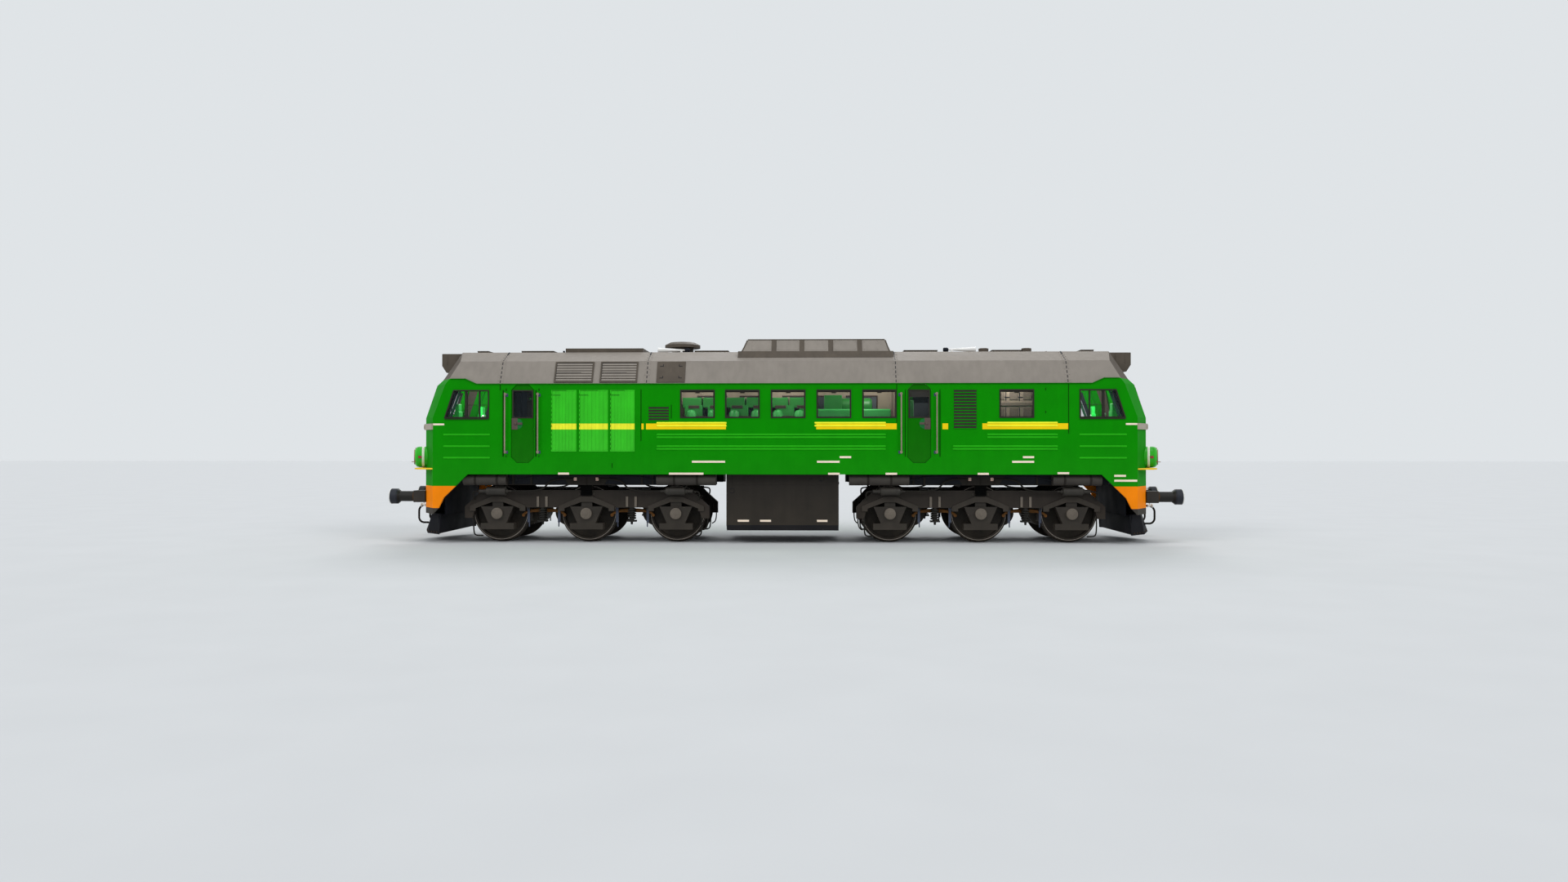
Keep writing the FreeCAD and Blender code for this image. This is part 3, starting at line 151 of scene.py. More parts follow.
class Coating:
    """A new material's nodes, with short calls for the ones that every finish is made of."""

    def __init__(self, name):
        self.material = bpy.data.materials.new(name)
        self.material.use_nodes = True
        self.nodes, self.links = self.material.node_tree.nodes, self.material.node_tree.links
        self.shader = self.nodes["Principled BSDF"]
        self.here = self.nodes.new("ShaderNodeTexCoord").outputs["Object"]

    def feed(self, socket, value):
        """Join a socket to another one, or give it a plain value or a colour's code."""
        if isinstance(value, bpy.types.NodeSocket):
            self.links.new(value, socket)
        else:
            socket.default_value = tint(value) if isinstance(value, str) else value

    def set(self, **looks):
        """Feed the shader's own sockets: Coat_Weight=0.2 sets Coat Weight."""
        for name, value in looks.items():
            self.feed(self.shader.inputs[name.replace("_", " ")], value)

    def math(self, operation, *values):
        """One sum on sockets or numbers."""
        step = self.nodes.new("ShaderNodeMath")
        step.operation = operation
        for socket, value in zip(step.inputs, values):
            self.feed(socket, value)
        return step.outputs[0]

    def over(self, value, limit):
        """1 where a value is above a limit, and 0 elsewhere."""
        return self.math("GREATER_THAN", value, limit)

    def under(self, value, limit):
        """1 where a value is below a limit, and 0 elsewhere."""
        return self.math("LESS_THAN", value, limit)

    def all_of(self, first, *others):
        """1 where every value is 1."""
        for other in others:
            first = self.math("MULTIPLY", first, other)
        return first

    def axes(self, vector):
        """A vector's X, Y and Z."""
        apart = self.nodes.new("ShaderNodeSeparateXYZ")
        self.links.new(vector, apart.inputs[0])
        return apart.outputs

    def reach(self, vector, axis):
        """How far a vector goes along an axis, either way."""
        return self.math("ABSOLUTE", self.axes(vector)[axis])

    def facing(self):
        """The way that the surface faces."""
        return self.nodes.new("ShaderNodeNewGeometry").outputs["True Normal"]

    def noise(self, scale, stretch=(1, 1, 1), detail=4):
        """Noise on the object's own coordinates, drawn out along its axes."""
        mapping = self.nodes.new("ShaderNodeMapping")
        mapping.inputs["Scale"].default_value = stretch
        self.links.new(self.here, mapping.inputs["Vector"])
        texture = self.nodes.new("ShaderNodeTexNoise")
        texture.inputs["Scale"].default_value = scale
        texture.inputs["Detail"].default_value = detail
        self.links.new(mapping.outputs["Vector"], texture.inputs["Vector"])
        return texture.outputs["Fac"]

    def spread(self, value, low, high, to_low=0.0, to_high=1.0):
        """A value mapped from one range to another."""
        step = self.nodes.new("ShaderNodeMapRange")
        for name, number in (("From Min", low), ("From Max", high), ("To Min", to_low), ("To Max", to_high)):
            step.inputs[name].default_value = number
        self.links.new(value, step.inputs["Value"])
        return step.outputs["Result"]

    def mix(self, factor, first, second, how="MIX"):
        """Two colours mixed; each is a socket, a plain colour or a colour's code."""
        mix = self.nodes.new("ShaderNodeMix")
        mix.data_type, mix.blend_type = "RGBA", how
        for socket, value in ((mix.inputs[0], factor), (mix.inputs[6], first), (mix.inputs[7], second)):
            self.feed(socket, value)
        return mix.outputs[2]

    def relief(self, height, strength, deep):
        """Bump the surface by a height."""
        bump = self.nodes.new("ShaderNodeBump")
        bump.inputs["Strength"].default_value = strength
        bump.inputs["Distance"].default_value = deep
        self.links.new(height, bump.inputs["Height"])
        self.links.new(bump.outputs["Normal"], self.shader.inputs["Normal"])


def finish(name, colour, rough=0.5, metal=0.0, mottle=0.10, patch=2.5, grain=60, bump=0.15, dust=0.0,
           dust_top=1.6, streak=0.10, coat=0.0, gloss=0.18, plan=None, dust_colour="8a7d6c"):
    """A worn finish: mottled colour, rain streaks, dust that thins upwards, uneven gloss and fine grain."""
    coating = Coating(name)
    base = plan(coating) if plan else colour
    cloud = coating.noise(patch)
    fine = coating.noise(grain, detail=2)
    rain = coating.noise(9, (1, 1, 0.12))
    light = coating.all_of(coating.spread(cloud, 0.3, 0.7, 1 - mottle, 1 + mottle),
                           coating.spread(rain, 0.35, 0.75, 1, 1 - streak))
    shade = coating.nodes.new("ShaderNodeCombineColor")
    for socket in shade.inputs:
        coating.feed(socket, light)
    painted = coating.mix(1.0, base, shade.outputs[0], "MULTIPLY")
    if dust:
        low = coating.spread(coating.axes(coating.here)["Z"], 0.1, dust_top, dust, 0)
        low = coating.all_of(low, coating.spread(cloud, 0.25, 0.65, 0.5, 1))
        painted = coating.mix(low, painted, dust_colour)
    coating.set(Base_Color=painted, Roughness=coating.spread(cloud, 0.3, 0.7, rough - 0.07, rough + 0.07),
                Metallic=metal, Specular_IOR_Level=gloss, Coat_Weight=coat)
    coating.relief(coating.math("ADD", fine, cloud), bump, 0.004)
    return coating.material


def dress(material, *nodes):
    """Give CAD nodes a finish."""
    for node in nodes:
        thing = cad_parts[node]
        thing.data.materials.clear()
        thing.data.materials.append(material)


def flipped(bm, axis, verts=None, faces=None):
    """Turn all or some of a mesh into its mirror image across the plane square to an axis."""
    flip = {"X": (-1, 1, 1), "Y": (1, -1, 1)}[axis]
    bmesh.ops.scale(bm, vec=flip, verts=bm.verts[:] if verts is None else verts)
    bmesh.ops.reverse_faces(bm, faces=bm.faces[:] if faces is None else faces)


def only(made, kind):
    """The verts or faces among what an operator made."""
    return [item for item in made if isinstance(item, kind)]


def reflect(bm, axis):
    """Add the mirror image of everything so far across the plane square to an axis."""
    made = bmesh.ops.duplicate(bm, geom=bm.verts[:] + bm.edges[:] + bm.faces[:])["geom"]
    flipped(bm, axis, only(made, bmesh.types.BMVert), only(made, bmesh.types.BMFace))


def piece(name, bm, slot, material, *stands_for, body="body", both="", edge=0.0, steps=2, smooth=32):
    """Make a mesh an object on a body, with its edges broken, and the nodes it stands for. The slot is not used."""
    for axis in both:
        reflect(bm, axis)
    mesh = mesh_of(bm, name)
    mesh.materials.append(material)
    mesh.shade_smooth()
    mesh.set_sharp_from_angle(angle=math.radians(smooth))
    thing = placed(name, mesh)
    if edge:
        broken = thing.modifiers.new("broken_edges", "BEVEL")
        broken.width, broken.segments, broken.limit_method = edge, steps, "ANGLE"
        broken.angle_limit = math.radians(35)
        broken.use_clamp_overlap = True
    if body:
        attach(thing, body)
    if stands_for:
        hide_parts(*stands_for)
    return thing


def blocks(name, pairs, slot, material, **how):
    """A piece made only of blocks, each between two opposite corners."""
    bm = bmesh.new()
    for one, other in pairs:
        solid_box(bm, one, other)
    return piece(name, bm, slot, material, **how)


def rib(bm, start, end, height, face, deep=0.014, tall=0.020):
    """A pressed rib along a side: a low rounded ridge with tapered ends."""
    verts = bmesh.ops.create_cone(bm, cap_ends=True, segments=12, radius1=1, radius2=1, depth=1)["verts"]
    bmesh.ops.rotate(bm, verts=verts, matrix=Matrix.Rotation(math.pi / 2, 3, "Y"))
    bmesh.ops.scale(bm, vec=(end - start, deep, tall), verts=verts)
    bmesh.ops.translate(bm, vec=((start + end) / 2, face, height), verts=verts)
    bm.normal_update()
    own = set(verts)
    caps = [cap for cap in bm.faces if len(cap.verts) == 12 and cap.verts[0] in own]
    bmesh.ops.inset_region(bm, faces=caps, thickness=0.008, depth=0.012)


def tilted(bm, one, other, turn, axis, move):
    """A block made about the origin, turned round an axis and then moved into place."""
    verts = solid_box(bm, one, other)
    bmesh.ops.rotate(bm, verts=verts, matrix=Matrix.Rotation(turn, 3, axis))
    bmesh.ops.translate(bm, verts=verts, vec=move)
    return verts


SIDE_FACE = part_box("side_wall_left")[1].y
STRIPE_LOW, STRIPE_HIGH = 2.492, 2.619
STRIPES = ((-3.062, -3.012), (-2.961, -1.222), (0.735, 2.471), (3.455, 3.578), (4.314, 6.167))
SKIRT_TOP, APRON_TOP = 1.26, 0.778
RIB_TOP = 2.66


def side_plan(ground, rib_top=RIB_TOP, stripes=STRIPES, yellow="ffd814"):
    """Paint by place: green, a yellow stripe in lengths, an orange foot, and a grey apron under it."""
    def plan(coating):
        place = coating.axes(coating.here)
        along, up = place["X"], place["Z"]
        inside = None
        for start, end in stripes:
            length = coating.all_of(coating.over(along, start), coating.under(along, end))
            inside = coating.math("MAXIMUM", inside, length) if inside else length
        out = coating.math("ABSOLUTE", place["Y"])
        top = coating.math("MAXIMUM", coating.under(up, STRIPE_HIGH), coating.over(out, SIDE_FACE + 0.001))
        where = coating.all_of(coating.over(up, STRIPE_LOW), coating.all_of(coating.under(up, rib_top), top),
                               coating.over(out, SIDE_FACE - 0.004), inside)
        colour = coating.mix(where, ground, yellow)
        colour = coating.mix(coating.under(up, SKIRT_TOP), colour, "ff8c05")
        return coating.mix(coating.under(up, APRON_TOP), colour, "413e3a")
    return plan


side_paint = finish("side_paint", "098c00", rough=0.6, gloss=0.05, mottle=0.05, streak=0.05, dust=0.05, dust_top=2.2,
                    plan=side_plan("098c00"))
dress(side_paint, "side_wall_left", "side_wall_right", "nose_front", "nose_rear")

RIBS = ((-2.72, -1.22, (2.632, 2.570)), (0.71, 2.225, (2.632, 2.570)), (4.43, 5.915, (2.632, 2.570)),
        (-2.72, 2.225, (2.378, 2.318, 2.124, 2.064)), (4.43, 5.915, (2.378, 2.318)),
        (3.69, 5.915, (2.124, 2.064)), (6.40, 7.39, (2.378, 2.124, 1.874)), (-7.39, -6.39, (2.378, 2.124, 1.874)))
bm = bmesh.new()
for start, end, heights in RIBS:
    for height in heights:
        rib(bm, start, end, height, SIDE_FACE)
rib_stripes = ((-2.961, -1.15), (0.68, 2.5), (4.314, 6.167))
# The ribs are painted a lighter green than the wall, and a lighter yellow in the stripe: a painted highlight on their
# rounded tops.
rib_highlight_paint = finish("rib_highlight_paint", "26b012", rough=0.5, gloss=0.08, mottle=0.05, streak=0.05, dust=0.05, dust_top=2.2,
                   plan=side_plan("26b012", stripes=rib_stripes, yellow="ffff34"))
piece("side_ribs", bm, "green_paint", rib_highlight_paint, both="Y")
# A dark green strip under each rib is a painted shadow line beneath it.
bm = bmesh.new()
for start, end, heights in RIBS:
    for height in heights:
        solid_box(bm, (start + 0.01, SIDE_FACE - 0.004, height - 0.017),
                  (end - 0.01, SIDE_FACE + 0.0015, height - 0.008))
rib_shadow_paint = finish("rib_shadow_paint", "0a4a02", rough=0.6, mottle=0.2)
piece("rib_shadow_strips", bm, "green_paint", rib_shadow_paint, both="Y")

# ------------------------------------------------------------------ gutters, seams and plates
# Folded gutters over the sides that climb over the cab windows, putty in the joints between
# the wall sheets and round the doorways, dark strips of painted shadow beside the handrails, and cast plates, blank and
# enamelled cream, on screws.
bm = bmesh.new()
GUTTER = 3.478
solid_box(bm, (-6.66, SIDE_FACE - 0.004, GUTTER), (6.66, SIDE_FACE + 0.022, GUTTER + 0.014))
for end in (-1, 1):
    tilted(bm, (-0.15, SIDE_FACE - 0.004, 0), (0.15, SIDE_FACE + 0.022, 0.014), -end * 0.42, "Y",
           (end * 6.795, 0, 3.535))
    solid_box(bm, (end * 6.93, SIDE_FACE - 0.004, 3.592), (end * 7.24, SIDE_FACE + 0.018, 3.604))
gutter_paint = finish("gutter_paint", "0f7001", rough=0.45, streak=0.15, patch=4)
piece("rain_gutters", bm, "green_paint", gutter_paint, both="Y", edge=0.003)

# The four long strips from 1.90 to 3.35 beside the handrails, at -6.083, -5.366, 2.66 and 3.403, are painted shadow
# lines, not seams.
SEAMS_AND_RAIL_SHADOWS = ((-3.07, 2.24, 3.36, 0.008), (-2.41, 2.73, 3.03, 0.008), (-6.15, 3.345, 3.47, 0.008),
         (-3.70, 1.655, 1.76, 0.007), (2.472, 2.63, 3.47, 0.007), (5.67, 3.33, 3.38, 0.008), (5.67, 2.84, 2.89, 0.008),
         (6.16, 2.40, 3.47, 0.008), (-6.083, 1.90, 3.35, 0.015), (-5.366, 1.90, 3.35, 0.015),
         (2.66, 1.90, 3.35, 0.009), (3.403, 1.90, 3.35, 0.009), (-6.02, 3.33, 3.38, 0.010), (-5.30, 3.33, 3.38, 0.010),
         (-6.02, 1.885, 1.93, 0.008), (-5.30, 1.885, 1.93, 0.008))
bm = bmesh.new()
for along, low, high, half in SEAMS_AND_RAIL_SHADOWS:
    solid_box(bm, (along - half, SIDE_FACE - 0.01, low), (along + half, SIDE_FACE + 0.004, high))
seam_and_shadow_paint = finish("seam_and_shadow_paint", "0b4804", rough=0.6, gloss=0.05, mottle=0.2)
piece("side_seams_and_shadows", bm, "green_paint", seam_and_shadow_paint, both="Y")

PLATES = ((-4.88, -4.64, 1.53), (-2.46, -1.71, 1.53), (-1.96, -1.24, 1.79), (0.75, 1.24, 1.79),
          (1.24, 1.49, 1.89), (0.99, 1.24, 1.53), (2.23, 2.48, 1.53), (4.21, 4.45, 1.53), (4.95, 5.42, 1.79),
          (5.18, 5.42, 1.89), (5.92, 6.17, 1.545), (7.13, 7.38, 1.49), (7.13, 7.62, 1.385))
bm = bmesh.new()
for start, end, height in PLATES:
    solid_box(bm, (start, SIDE_FACE - 0.004, height - 0.022), (end, SIDE_FACE + 0.006, height + 0.022))
    for along in (start + 0.018, end - 0.018):
        solid_box(bm, (along - 0.006, SIDE_FACE, height - 0.006), (along + 0.006, SIDE_FACE + 0.009, height + 0.006))
tank_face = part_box("fuel_tank")[1].y
for start, end in ((-0.98, -0.73), (-0.49, -0.25), (0.75, 0.98)):
    solid_box(bm, (start, tank_face - 0.004, 0.478), (end, tank_face + 0.006, 0.522))
plate_enamel = finish("plate_enamel", "ffebd6", rough=0.35, mottle=0.04, streak=0.05, gloss=0.2)
piece("cast_plates", bm, "green_paint", plate_enamel, both="Y", edge=0.003)

# ------------------------------------------------------------------ side windows
# Square panes held in dark rubber and steel frames that are screwed to the wall; the cab's
# side window is raked at its front and has two bars, and its rear light slides open.


def frame_round(bm, corners, face, width, deep):
    """A flat frame round an opening, from its outline, standing out from a face towards +y."""
    ring = [bm.verts.new((x, face, z)) for x, z in corners]
    sheet = bm.faces.new(ring)
    bm.normal_update()
    if sheet.normal.y < 0:
        sheet.normal_flip()
    made = bmesh.ops.inset_region(bm, faces=[sheet], thickness=width, use_boundary=True,
                                  use_even_offset=True)["faces"]
    bmesh.ops.delete(bm, geom=[sheet], context="FACES_ONLY")
    rim = bmesh.ops.extrude_face_region(bm, geom=made)["geom"]
    bmesh.ops.translate(bm, vec=(0, deep, 0), verts=only(rim, bmesh.types.BMVert))


def oblong(start, end, low, high, grow=0.0):
    """The corners of an upright oblong, grown by a margin."""
    return [(start - grow, low - grow), (end + grow, low - grow), (end + grow, high + grow),
            (start - grow, high + grow)]


SILL, HEAD = 2.74, 3.35
WINDOWS = ((-2.214, -1.468), (-1.237, -0.493), (-0.244, 0.499), (0.746, 1.488), (1.735, 2.463), (4.685, 5.42))
CAB_CORNERS = ((6.400, SILL), (7.380, SILL), (7.177, HEAD), (6.400, HEAD))
LIP = 0.006
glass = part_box("window_glass")
bm = bmesh.new()
for start, end in WINDOWS:
    frame_round(bm, oblong(start, end, SILL, HEAD, LIP), SIDE_FACE - 0.045, 0.034, 0.055)
    middle = (start + end) / 2
    solid_box(bm, (start, glass[1].y + 0.001, HEAD - 0.055), (end, SIDE_FACE - 0.006, HEAD))
    solid_box(bm, (middle - 0.05, glass[1].y, HEAD - 0.075), (middle + 0.05, SIDE_FACE - 0.015, HEAD - 0.05))
for end in (-1, 1):
    corners = [(end * x, z) for x, z in CAB_CORNERS][::end]
    centre = Vector((end * 6.84, 3.045))
    frame_round(bm, [tuple(Vector(c) + (Vector(c) - centre).normalized() * 0.01) for c in corners],
                SIDE_FACE - 0.045, 0.032, 0.055)
    for along, wide in ((6.614, 0.028), (6.906, 0.055)):
        solid_box(bm, (end * along - wide / 2, SIDE_FACE - 0.06, SILL),
                  (end * along + wide / 2, SIDE_FACE - 0.008, HEAD))
    solid_box(bm, (end * 6.42, SIDE_FACE - 0.025, 3.02), (end * 6.90, SIDE_FACE - 0.012, 3.032))
    solid_box(bm, (end * 6.40, SIDE_FACE, SILL - 0.03), (end * 7.37, SIDE_FACE + 0.02, SILL - 0.012))
window_rubber = finish("window_rubber", "292521", rough=0.7, mottle=0.2, grain=140, gloss=0.2)
piece("side_window_frames", bm, "window_glass", window_rubber, both="Y", edge=0.004, steps=2)

clear_glass = finish("clear_glass", "39434a", rough=0.12, mottle=0.05, streak=0.12, bump=0.0, patch=5, gloss=0.35)
clear_glass.node_tree.nodes["Principled BSDF"].inputs["Alpha"].default_value = 0.10
dress(clear_glass, "window_glass", "windscreens")

# ------------------------------------------------------------------ noses
# Each nose is bent sheet with a windscreen of two raked panes in rubber, wipers on pivots,
# welded trim strips where its sheets meet, and bent grab rails for whoever cleans the glass.


def strut(bm, start, end, radius, tip=None, segments=12):
    """A round bar, or a cone where tip is its far radius, between two points."""
    start, end = Vector(start), Vector(end)
    verts = bmesh.ops.create_cone(bm, cap_ends=True, segments=segments, radius1=radius,
                                  radius2=radius if tip is None else tip, depth=(end - start).length)["verts"]
    bmesh.ops.rotate(bm, verts=verts, matrix=(end - start).to_track_quat("Z", "Y").to_matrix())
    bmesh.ops.translate(bm, verts=verts, vec=(start + end) / 2)
    return verts


def pipe(bm, points, radius, sides=2, order=3):
    """A bent tube: a smooth line through its route with a round section, added as mesh."""
    curve = bpy.data.curves.new("route", "CURVE")
    curve.dimensions, curve.bevel_depth, curve.bevel_resolution, curve.use_fill_caps = "3D", radius, sides, True
    line = curve.splines.new("NURBS")
    line.points.add(len(points) - 1)
    for spot, point in zip(line.points, points):
        spot.co = (*point, 1)
    line.order_u, line.use_endpoint_u, line.resolution_u = order, True, 4
    holder = placed("route", curve)
    shaped = bpy.data.meshes.new_from_object(holder.evaluated_get(bpy.context.evaluated_depsgraph_get()))
    bm.from_mesh(shaped)
    bpy.data.objects.remove(holder)
    bpy.data.curves.remove(curve)
    bpy.data.meshes.remove(shaped)


def around(count, radius, first=0):
    """Offsets spaced evenly round a circle, from an angle in degrees."""
    turns = [math.radians(first + 360 / count * turn) for turn in range(count)]
    return [(radius * math.cos(turn), radius * math.sin(turn)) for turn in turns]


def turned(bm, profile, centre, axis="Z", steps=32, angle=2 * math.pi):
    """A shape turned on a lathe: its profile is (distance from the axis, place along it)."""
    line = [bm.verts.new((r, 0, h)) for r, h in profile]
    edges = [bm.edges.new(pair) for pair in zip(line[:-1], line[1:])]
    before = set(bm.verts)
    bmesh.ops.spin(bm, geom=line + edges, cent=(0, 0, 0), axis=(0, 0, 1), angle=angle, steps=steps,
                   use_merge=angle > 6.28)
    verts = [v for v in line + [v for v in bm.verts if v not in before] if v.is_valid]
    bmesh.ops.remove_doubles(bm, verts=verts, dist=1e-5)
    verts = [v for v in verts if v.is_valid]
    faces = list({f for v in verts for f in v.link_faces})
    bmesh.ops.recalc_face_normals(bm, faces=faces)
    turn = {"X": Matrix.Rotation(math.pi / 2, 3, "Y"), "-X": Matrix.Rotation(-math.pi / 2, 3, "Y"),
            "Y": Matrix.Rotation(-math.pi / 2, 3, "X"), "Z": Matrix.Identity(3)}[axis]
    bmesh.ops.rotate(bm, verts=verts, matrix=turn)
    bmesh.ops.translate(bm, verts=verts, vec=centre)
    return verts


def band(bm, inner, outer, low, high, centre, axis, steps):
    """A plain ring round an axis between two places along it, or a disc where inner is 0."""
    turned(bm, [(inner, low), (outer, low), (outer, high), (inner, high)], centre, axis, steps)


NOSE_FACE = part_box("nose_front")[1].x
LEAN = math.atan2(0.235, 0.73)
SCREEN_FOOT, PANE_LOW, PANE_HIGH, PANE_IN, PANE_OUT = 2.75, 2.88, 3.40, 0.09, 0.84
bm = bmesh.new()
for near in (1, -1):
    start, end = sorted((near * PANE_IN, near * PANE_OUT))
    low = (PANE_LOW - SCREEN_FOOT) / math.cos(LEAN)
    tall = (PANE_HIGH - PANE_LOW) / math.cos(LEAN)
    before = set(bm.verts)
    frame_round(bm, oblong(start, end, low, low + tall, 0.02), -0.035, 0.045, 0.055)
    verts = [v for v in bm.verts if v not in before]
    bmesh.ops.rotate(bm, verts=verts, matrix=Matrix.Rotation(-math.pi / 2, 3, "Z"))
    bmesh.ops.rotate(bm, verts=verts, matrix=Matrix.Rotation(-LEAN, 3, "Y"))
    bmesh.ops.translate(bm, verts=verts, vec=(NOSE_FACE, 0, SCREEN_FOOT))
piece("windscreen_frames", bm, "window_glass", window_rubber, both="X", edge=0.006)

bm = bmesh.new()
for side in (1, -1):
    foot = Vector((NOSE_FACE + 0.012 - 0.08 * math.tan(LEAN), side * 0.62, 2.83))
    head = foot + Vector((-0.44 * math.tan(LEAN), -side * 0.22, 0.44))
    turned(bm, ((0, 0), (0.028, 0), (0.028, 0.02), (0.018, 0.03), (0, 0.03)), foot - Vector((0.02, 0, 0)), "X", 16)
    strut(bm, foot, head, 0.008, segments=8)
    rake = Vector((-math.tan(LEAN), 0, 1))
    strut(bm, head - rake * 0.20, head + rake * 0.08, 0.010, segments=8)
wiper_metal = finish("wiper_metal", "20201f", rough=0.45, metal=0.3, mottle=0.2)
piece("windscreen_wipers", bm, "window_glass", wiper_metal, both="X")

bm = bmesh.new()
for height in (1.52, 2.70):
    solid_box(bm, (NOSE_FACE - 0.002, -0.93, height), (NOSE_FACE + 0.006, 0.93, height + 0.02))
solid_box(bm, (NOSE_FACE - 0.002, -0.009, 1.54), (NOSE_FACE + 0.005, 0.009, 2.70))
piece("nose_trim", bm, "green_paint", side_paint, both="X", edge=0.003)

bm = bmesh.new()
for side in (1, -1):
    for up in (2.28, 2.62):
        pipe(bm, [(NOSE_FACE + out, side * across, up) for out, across in
                  ((-0.004, 0.46), (0.055, 0.46), (0.055, 0.30), (0.055, 0.14), (-0.004, 0.14))], 0.011)
rail_steel = finish("rail_steel", "9b8d7c", rough=0.38, metal=0.25, mottle=0.10, grain=120)
piece("nose_grab_rails", bm, "rail_metal", rail_steel, both="X")

# ------------------------------------------------------------------ step plates
# Yellow plates of studded sheet welded to the noses under the lamps, with a plain length
# carried round each corner.


def stud(bm, spot, radius, tip, tall, turn=None, segments=6):
    """A small tapered head, upright unless it is turned."""
    verts = bmesh.ops.create_cone(bm, cap_ends=True, segments=segments, radius1=radius, radius2=tip,
                                  depth=tall)["verts"]
    if turn is not None:
        bmesh.ops.rotate(bm, verts=verts, matrix=turn)
    bmesh.ops.translate(bm, verts=verts, vec=spot)
    return verts


bm = bmesh.new()
SHELF = 1.635
solid_box(bm, (NOSE_FACE - 0.005, 0.52, SHELF - 0.016), (NOSE_FACE + 0.170, 1.18, SHELF + 0.016))
solid_box(bm, (NOSE_FACE - 0.34, 1.18, SHELF - 0.016), (NOSE_FACE + 0.02, SIDE_FACE - 0.02, SHELF + 0.016))
shelf_paint = finish("shelf_paint", "ffd22a", rough=0.5, mottle=0.1, streak=0.15, dust=0.2, dust_top=3)
piece("step_plates", bm, "bright_green_paint", shelf_paint, both="YX", edge=0.003)
bm = bmesh.new()
for row in range(3):
    for spot in range(12):
        stud(bm, (NOSE_FACE + 0.04 + row * 0.045, 0.57 + spot * 0.05, SHELF + 0.018), 0.010, 0.006, 0.006)
piece("step_studs", bm, "bright_green_paint", shelf_paint, both="YX")

# ------------------------------------------------------------------ big lamps
# Two round lamps low on each nose, turned a little outwards: a pressed green drum with a white
# enamelled ring round it, a domed lens in a tan rim, and red latches and a catch on the front.
LAMP_Y, LAMP_Z, LAMP_R = 0.85, 1.89, 0.230
LAMP_FOOT = (NOSE_FACE, LAMP_Y, LAMP_Z)
LAMP_TURN = Matrix.Rotation(math.radians(18), 3, "Z")


def lamp_piece(name, bm, slot, material, *stands_for, **how):
    """Turn a lamp's piece outwards about the middle of its foot, and add it at all four lamps."""
    bmesh.ops.rotate(bm, verts=bm.verts[:], cent=LAMP_FOOT, matrix=LAMP_TURN)
    piece(name, bm, slot, material, *stands_for, both="YX", **how)


bm = bmesh.new()
turned(bm, ((0, -0.13), (LAMP_R, -0.13), (LAMP_R, 0.182), (LAMP_R - 0.004, 0.192), (0, 0.192)), LAMP_FOOT, "X", 48)
turned(bm, [(LAMP_R - inset, out) for inset, out in
            ((0.03, 0.19), (0.004, 0.195), (0.012, 0.225), (0.045, 0.255), (0.085, 0.275), (0.10, 0.268), (0.075, 0.20),
             (0.03, 0.19))], LAMP_FOOT, "X", 48)
drum_paint = finish("drum_paint", "2cb81c", rough=0.35, mottle=0.06, streak=0.1, coat=0.2)
lamp_piece("lamp_drum_shells", bm, "bright_green_paint", drum_paint, "lamp_drums")
bm = bmesh.new()
turned(bm, [(LAMP_R + proud, out) for proud, out in
            ((-0.06, 0.062), (0.004, 0.063), (0.006, 0.068), (0.006, 0.108), (0.002, 0.113), (-0.06, 0.113),
             (-0.06, 0.062))], LAMP_FOOT, "X", 48)
ring_enamel = finish("ring_enamel", "fffff1", rough=0.3, mottle=0.03, streak=0.05)
lamp_piece("lamp_rings", bm, "bright_green_paint", ring_enamel)
bm = bmesh.new()
turned(bm, ((0, 0.262), (0.05, 0.260), (0.10, 0.250), (0.148, 0.228), (0.150, 0.205), (0, 0.205)), LAMP_FOOT, "X", 36)
lens_glass = finish("lens_glass", "cfd6d2", rough=0.08, mottle=0.08, grain=30, bump=0.3, gloss=0.6, coat=0.6)
lamp_piece("lamp_lenses", bm, "window_glass", lens_glass)
bm = bmesh.new()
solid_box(bm, (NOSE_FACE + 0.122, LAMP_Y + 0.20, LAMP_Z - 0.026),
          (NOSE_FACE + 0.192, LAMP_Y + LAMP_R + 0.010, LAMP_Z + 0.026))
for across, up in around(3, 0.19, 90):
    strut(bm, (NOSE_FACE + 0.235, LAMP_Y + across, LAMP_Z + up), (NOSE_FACE + 0.262, LAMP_Y + across, LAMP_Z + up),
          0.012)
lamp_red = finish("lamp_red", "a03030", rough=0.3, mottle=0.1, gloss=0.4)
lamp_piece("lamp_knobs", bm, "lamp_metal", lamp_red, edge=0.003)
bm = bmesh.new()
turned(bm, ((0.150, 0.255), (0.166, 0.255), (0.168, 0.262), (0.166, 0.284), (0.152, 0.284), (0.150, 0.255)), LAMP_FOOT,
       "X", 40)
strut(bm, (NOSE_FACE + 0.25, LAMP_Y + 0.12, LAMP_Z - 0.106), (NOSE_FACE + 0.335, LAMP_Y + 0.12, LAMP_Z - 0.106), 0.009)
lamp_piece("lamp_rims", bm, "lamp_metal", finish("lamp_tan", "a58d7c", rough=0.45, metal=0.3, mottle=0.15))

# ------------------------------------------------------------------ marker lamps
# A silver box of bent sheet round each corner of the body with a clear pane in front, and a
# cream enamelled strip on the wall behind it.
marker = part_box("marker_lamps")
silver = finish("lamp_silver", "aca191", rough=0.4, metal=0.5, mottle=0.08)
dress(silver, "marker_lamps")
bm = bmesh.new()
solid_box(bm, (marker[1].x - 0.004, 0.875, marker[0].z + 0.02), (marker[1].x + 0.004, 0.985, marker[1].z - 0.02))
marker_pane = finish("marker_pane", "e6e0d6", rough=0.15, mottle=0.1, bump=0.3, coat=0.5)
piece("marker_panes", bm, "lamp_metal", marker_pane, both="YX", edge=0.006)
blocks("corner_strips", [((7.38, SIDE_FACE - 0.004, 2.582), (7.625, SIDE_FACE + 0.006, 2.622))],
       "lamp_metal", plate_enamel, both="YX", edge=0.003)

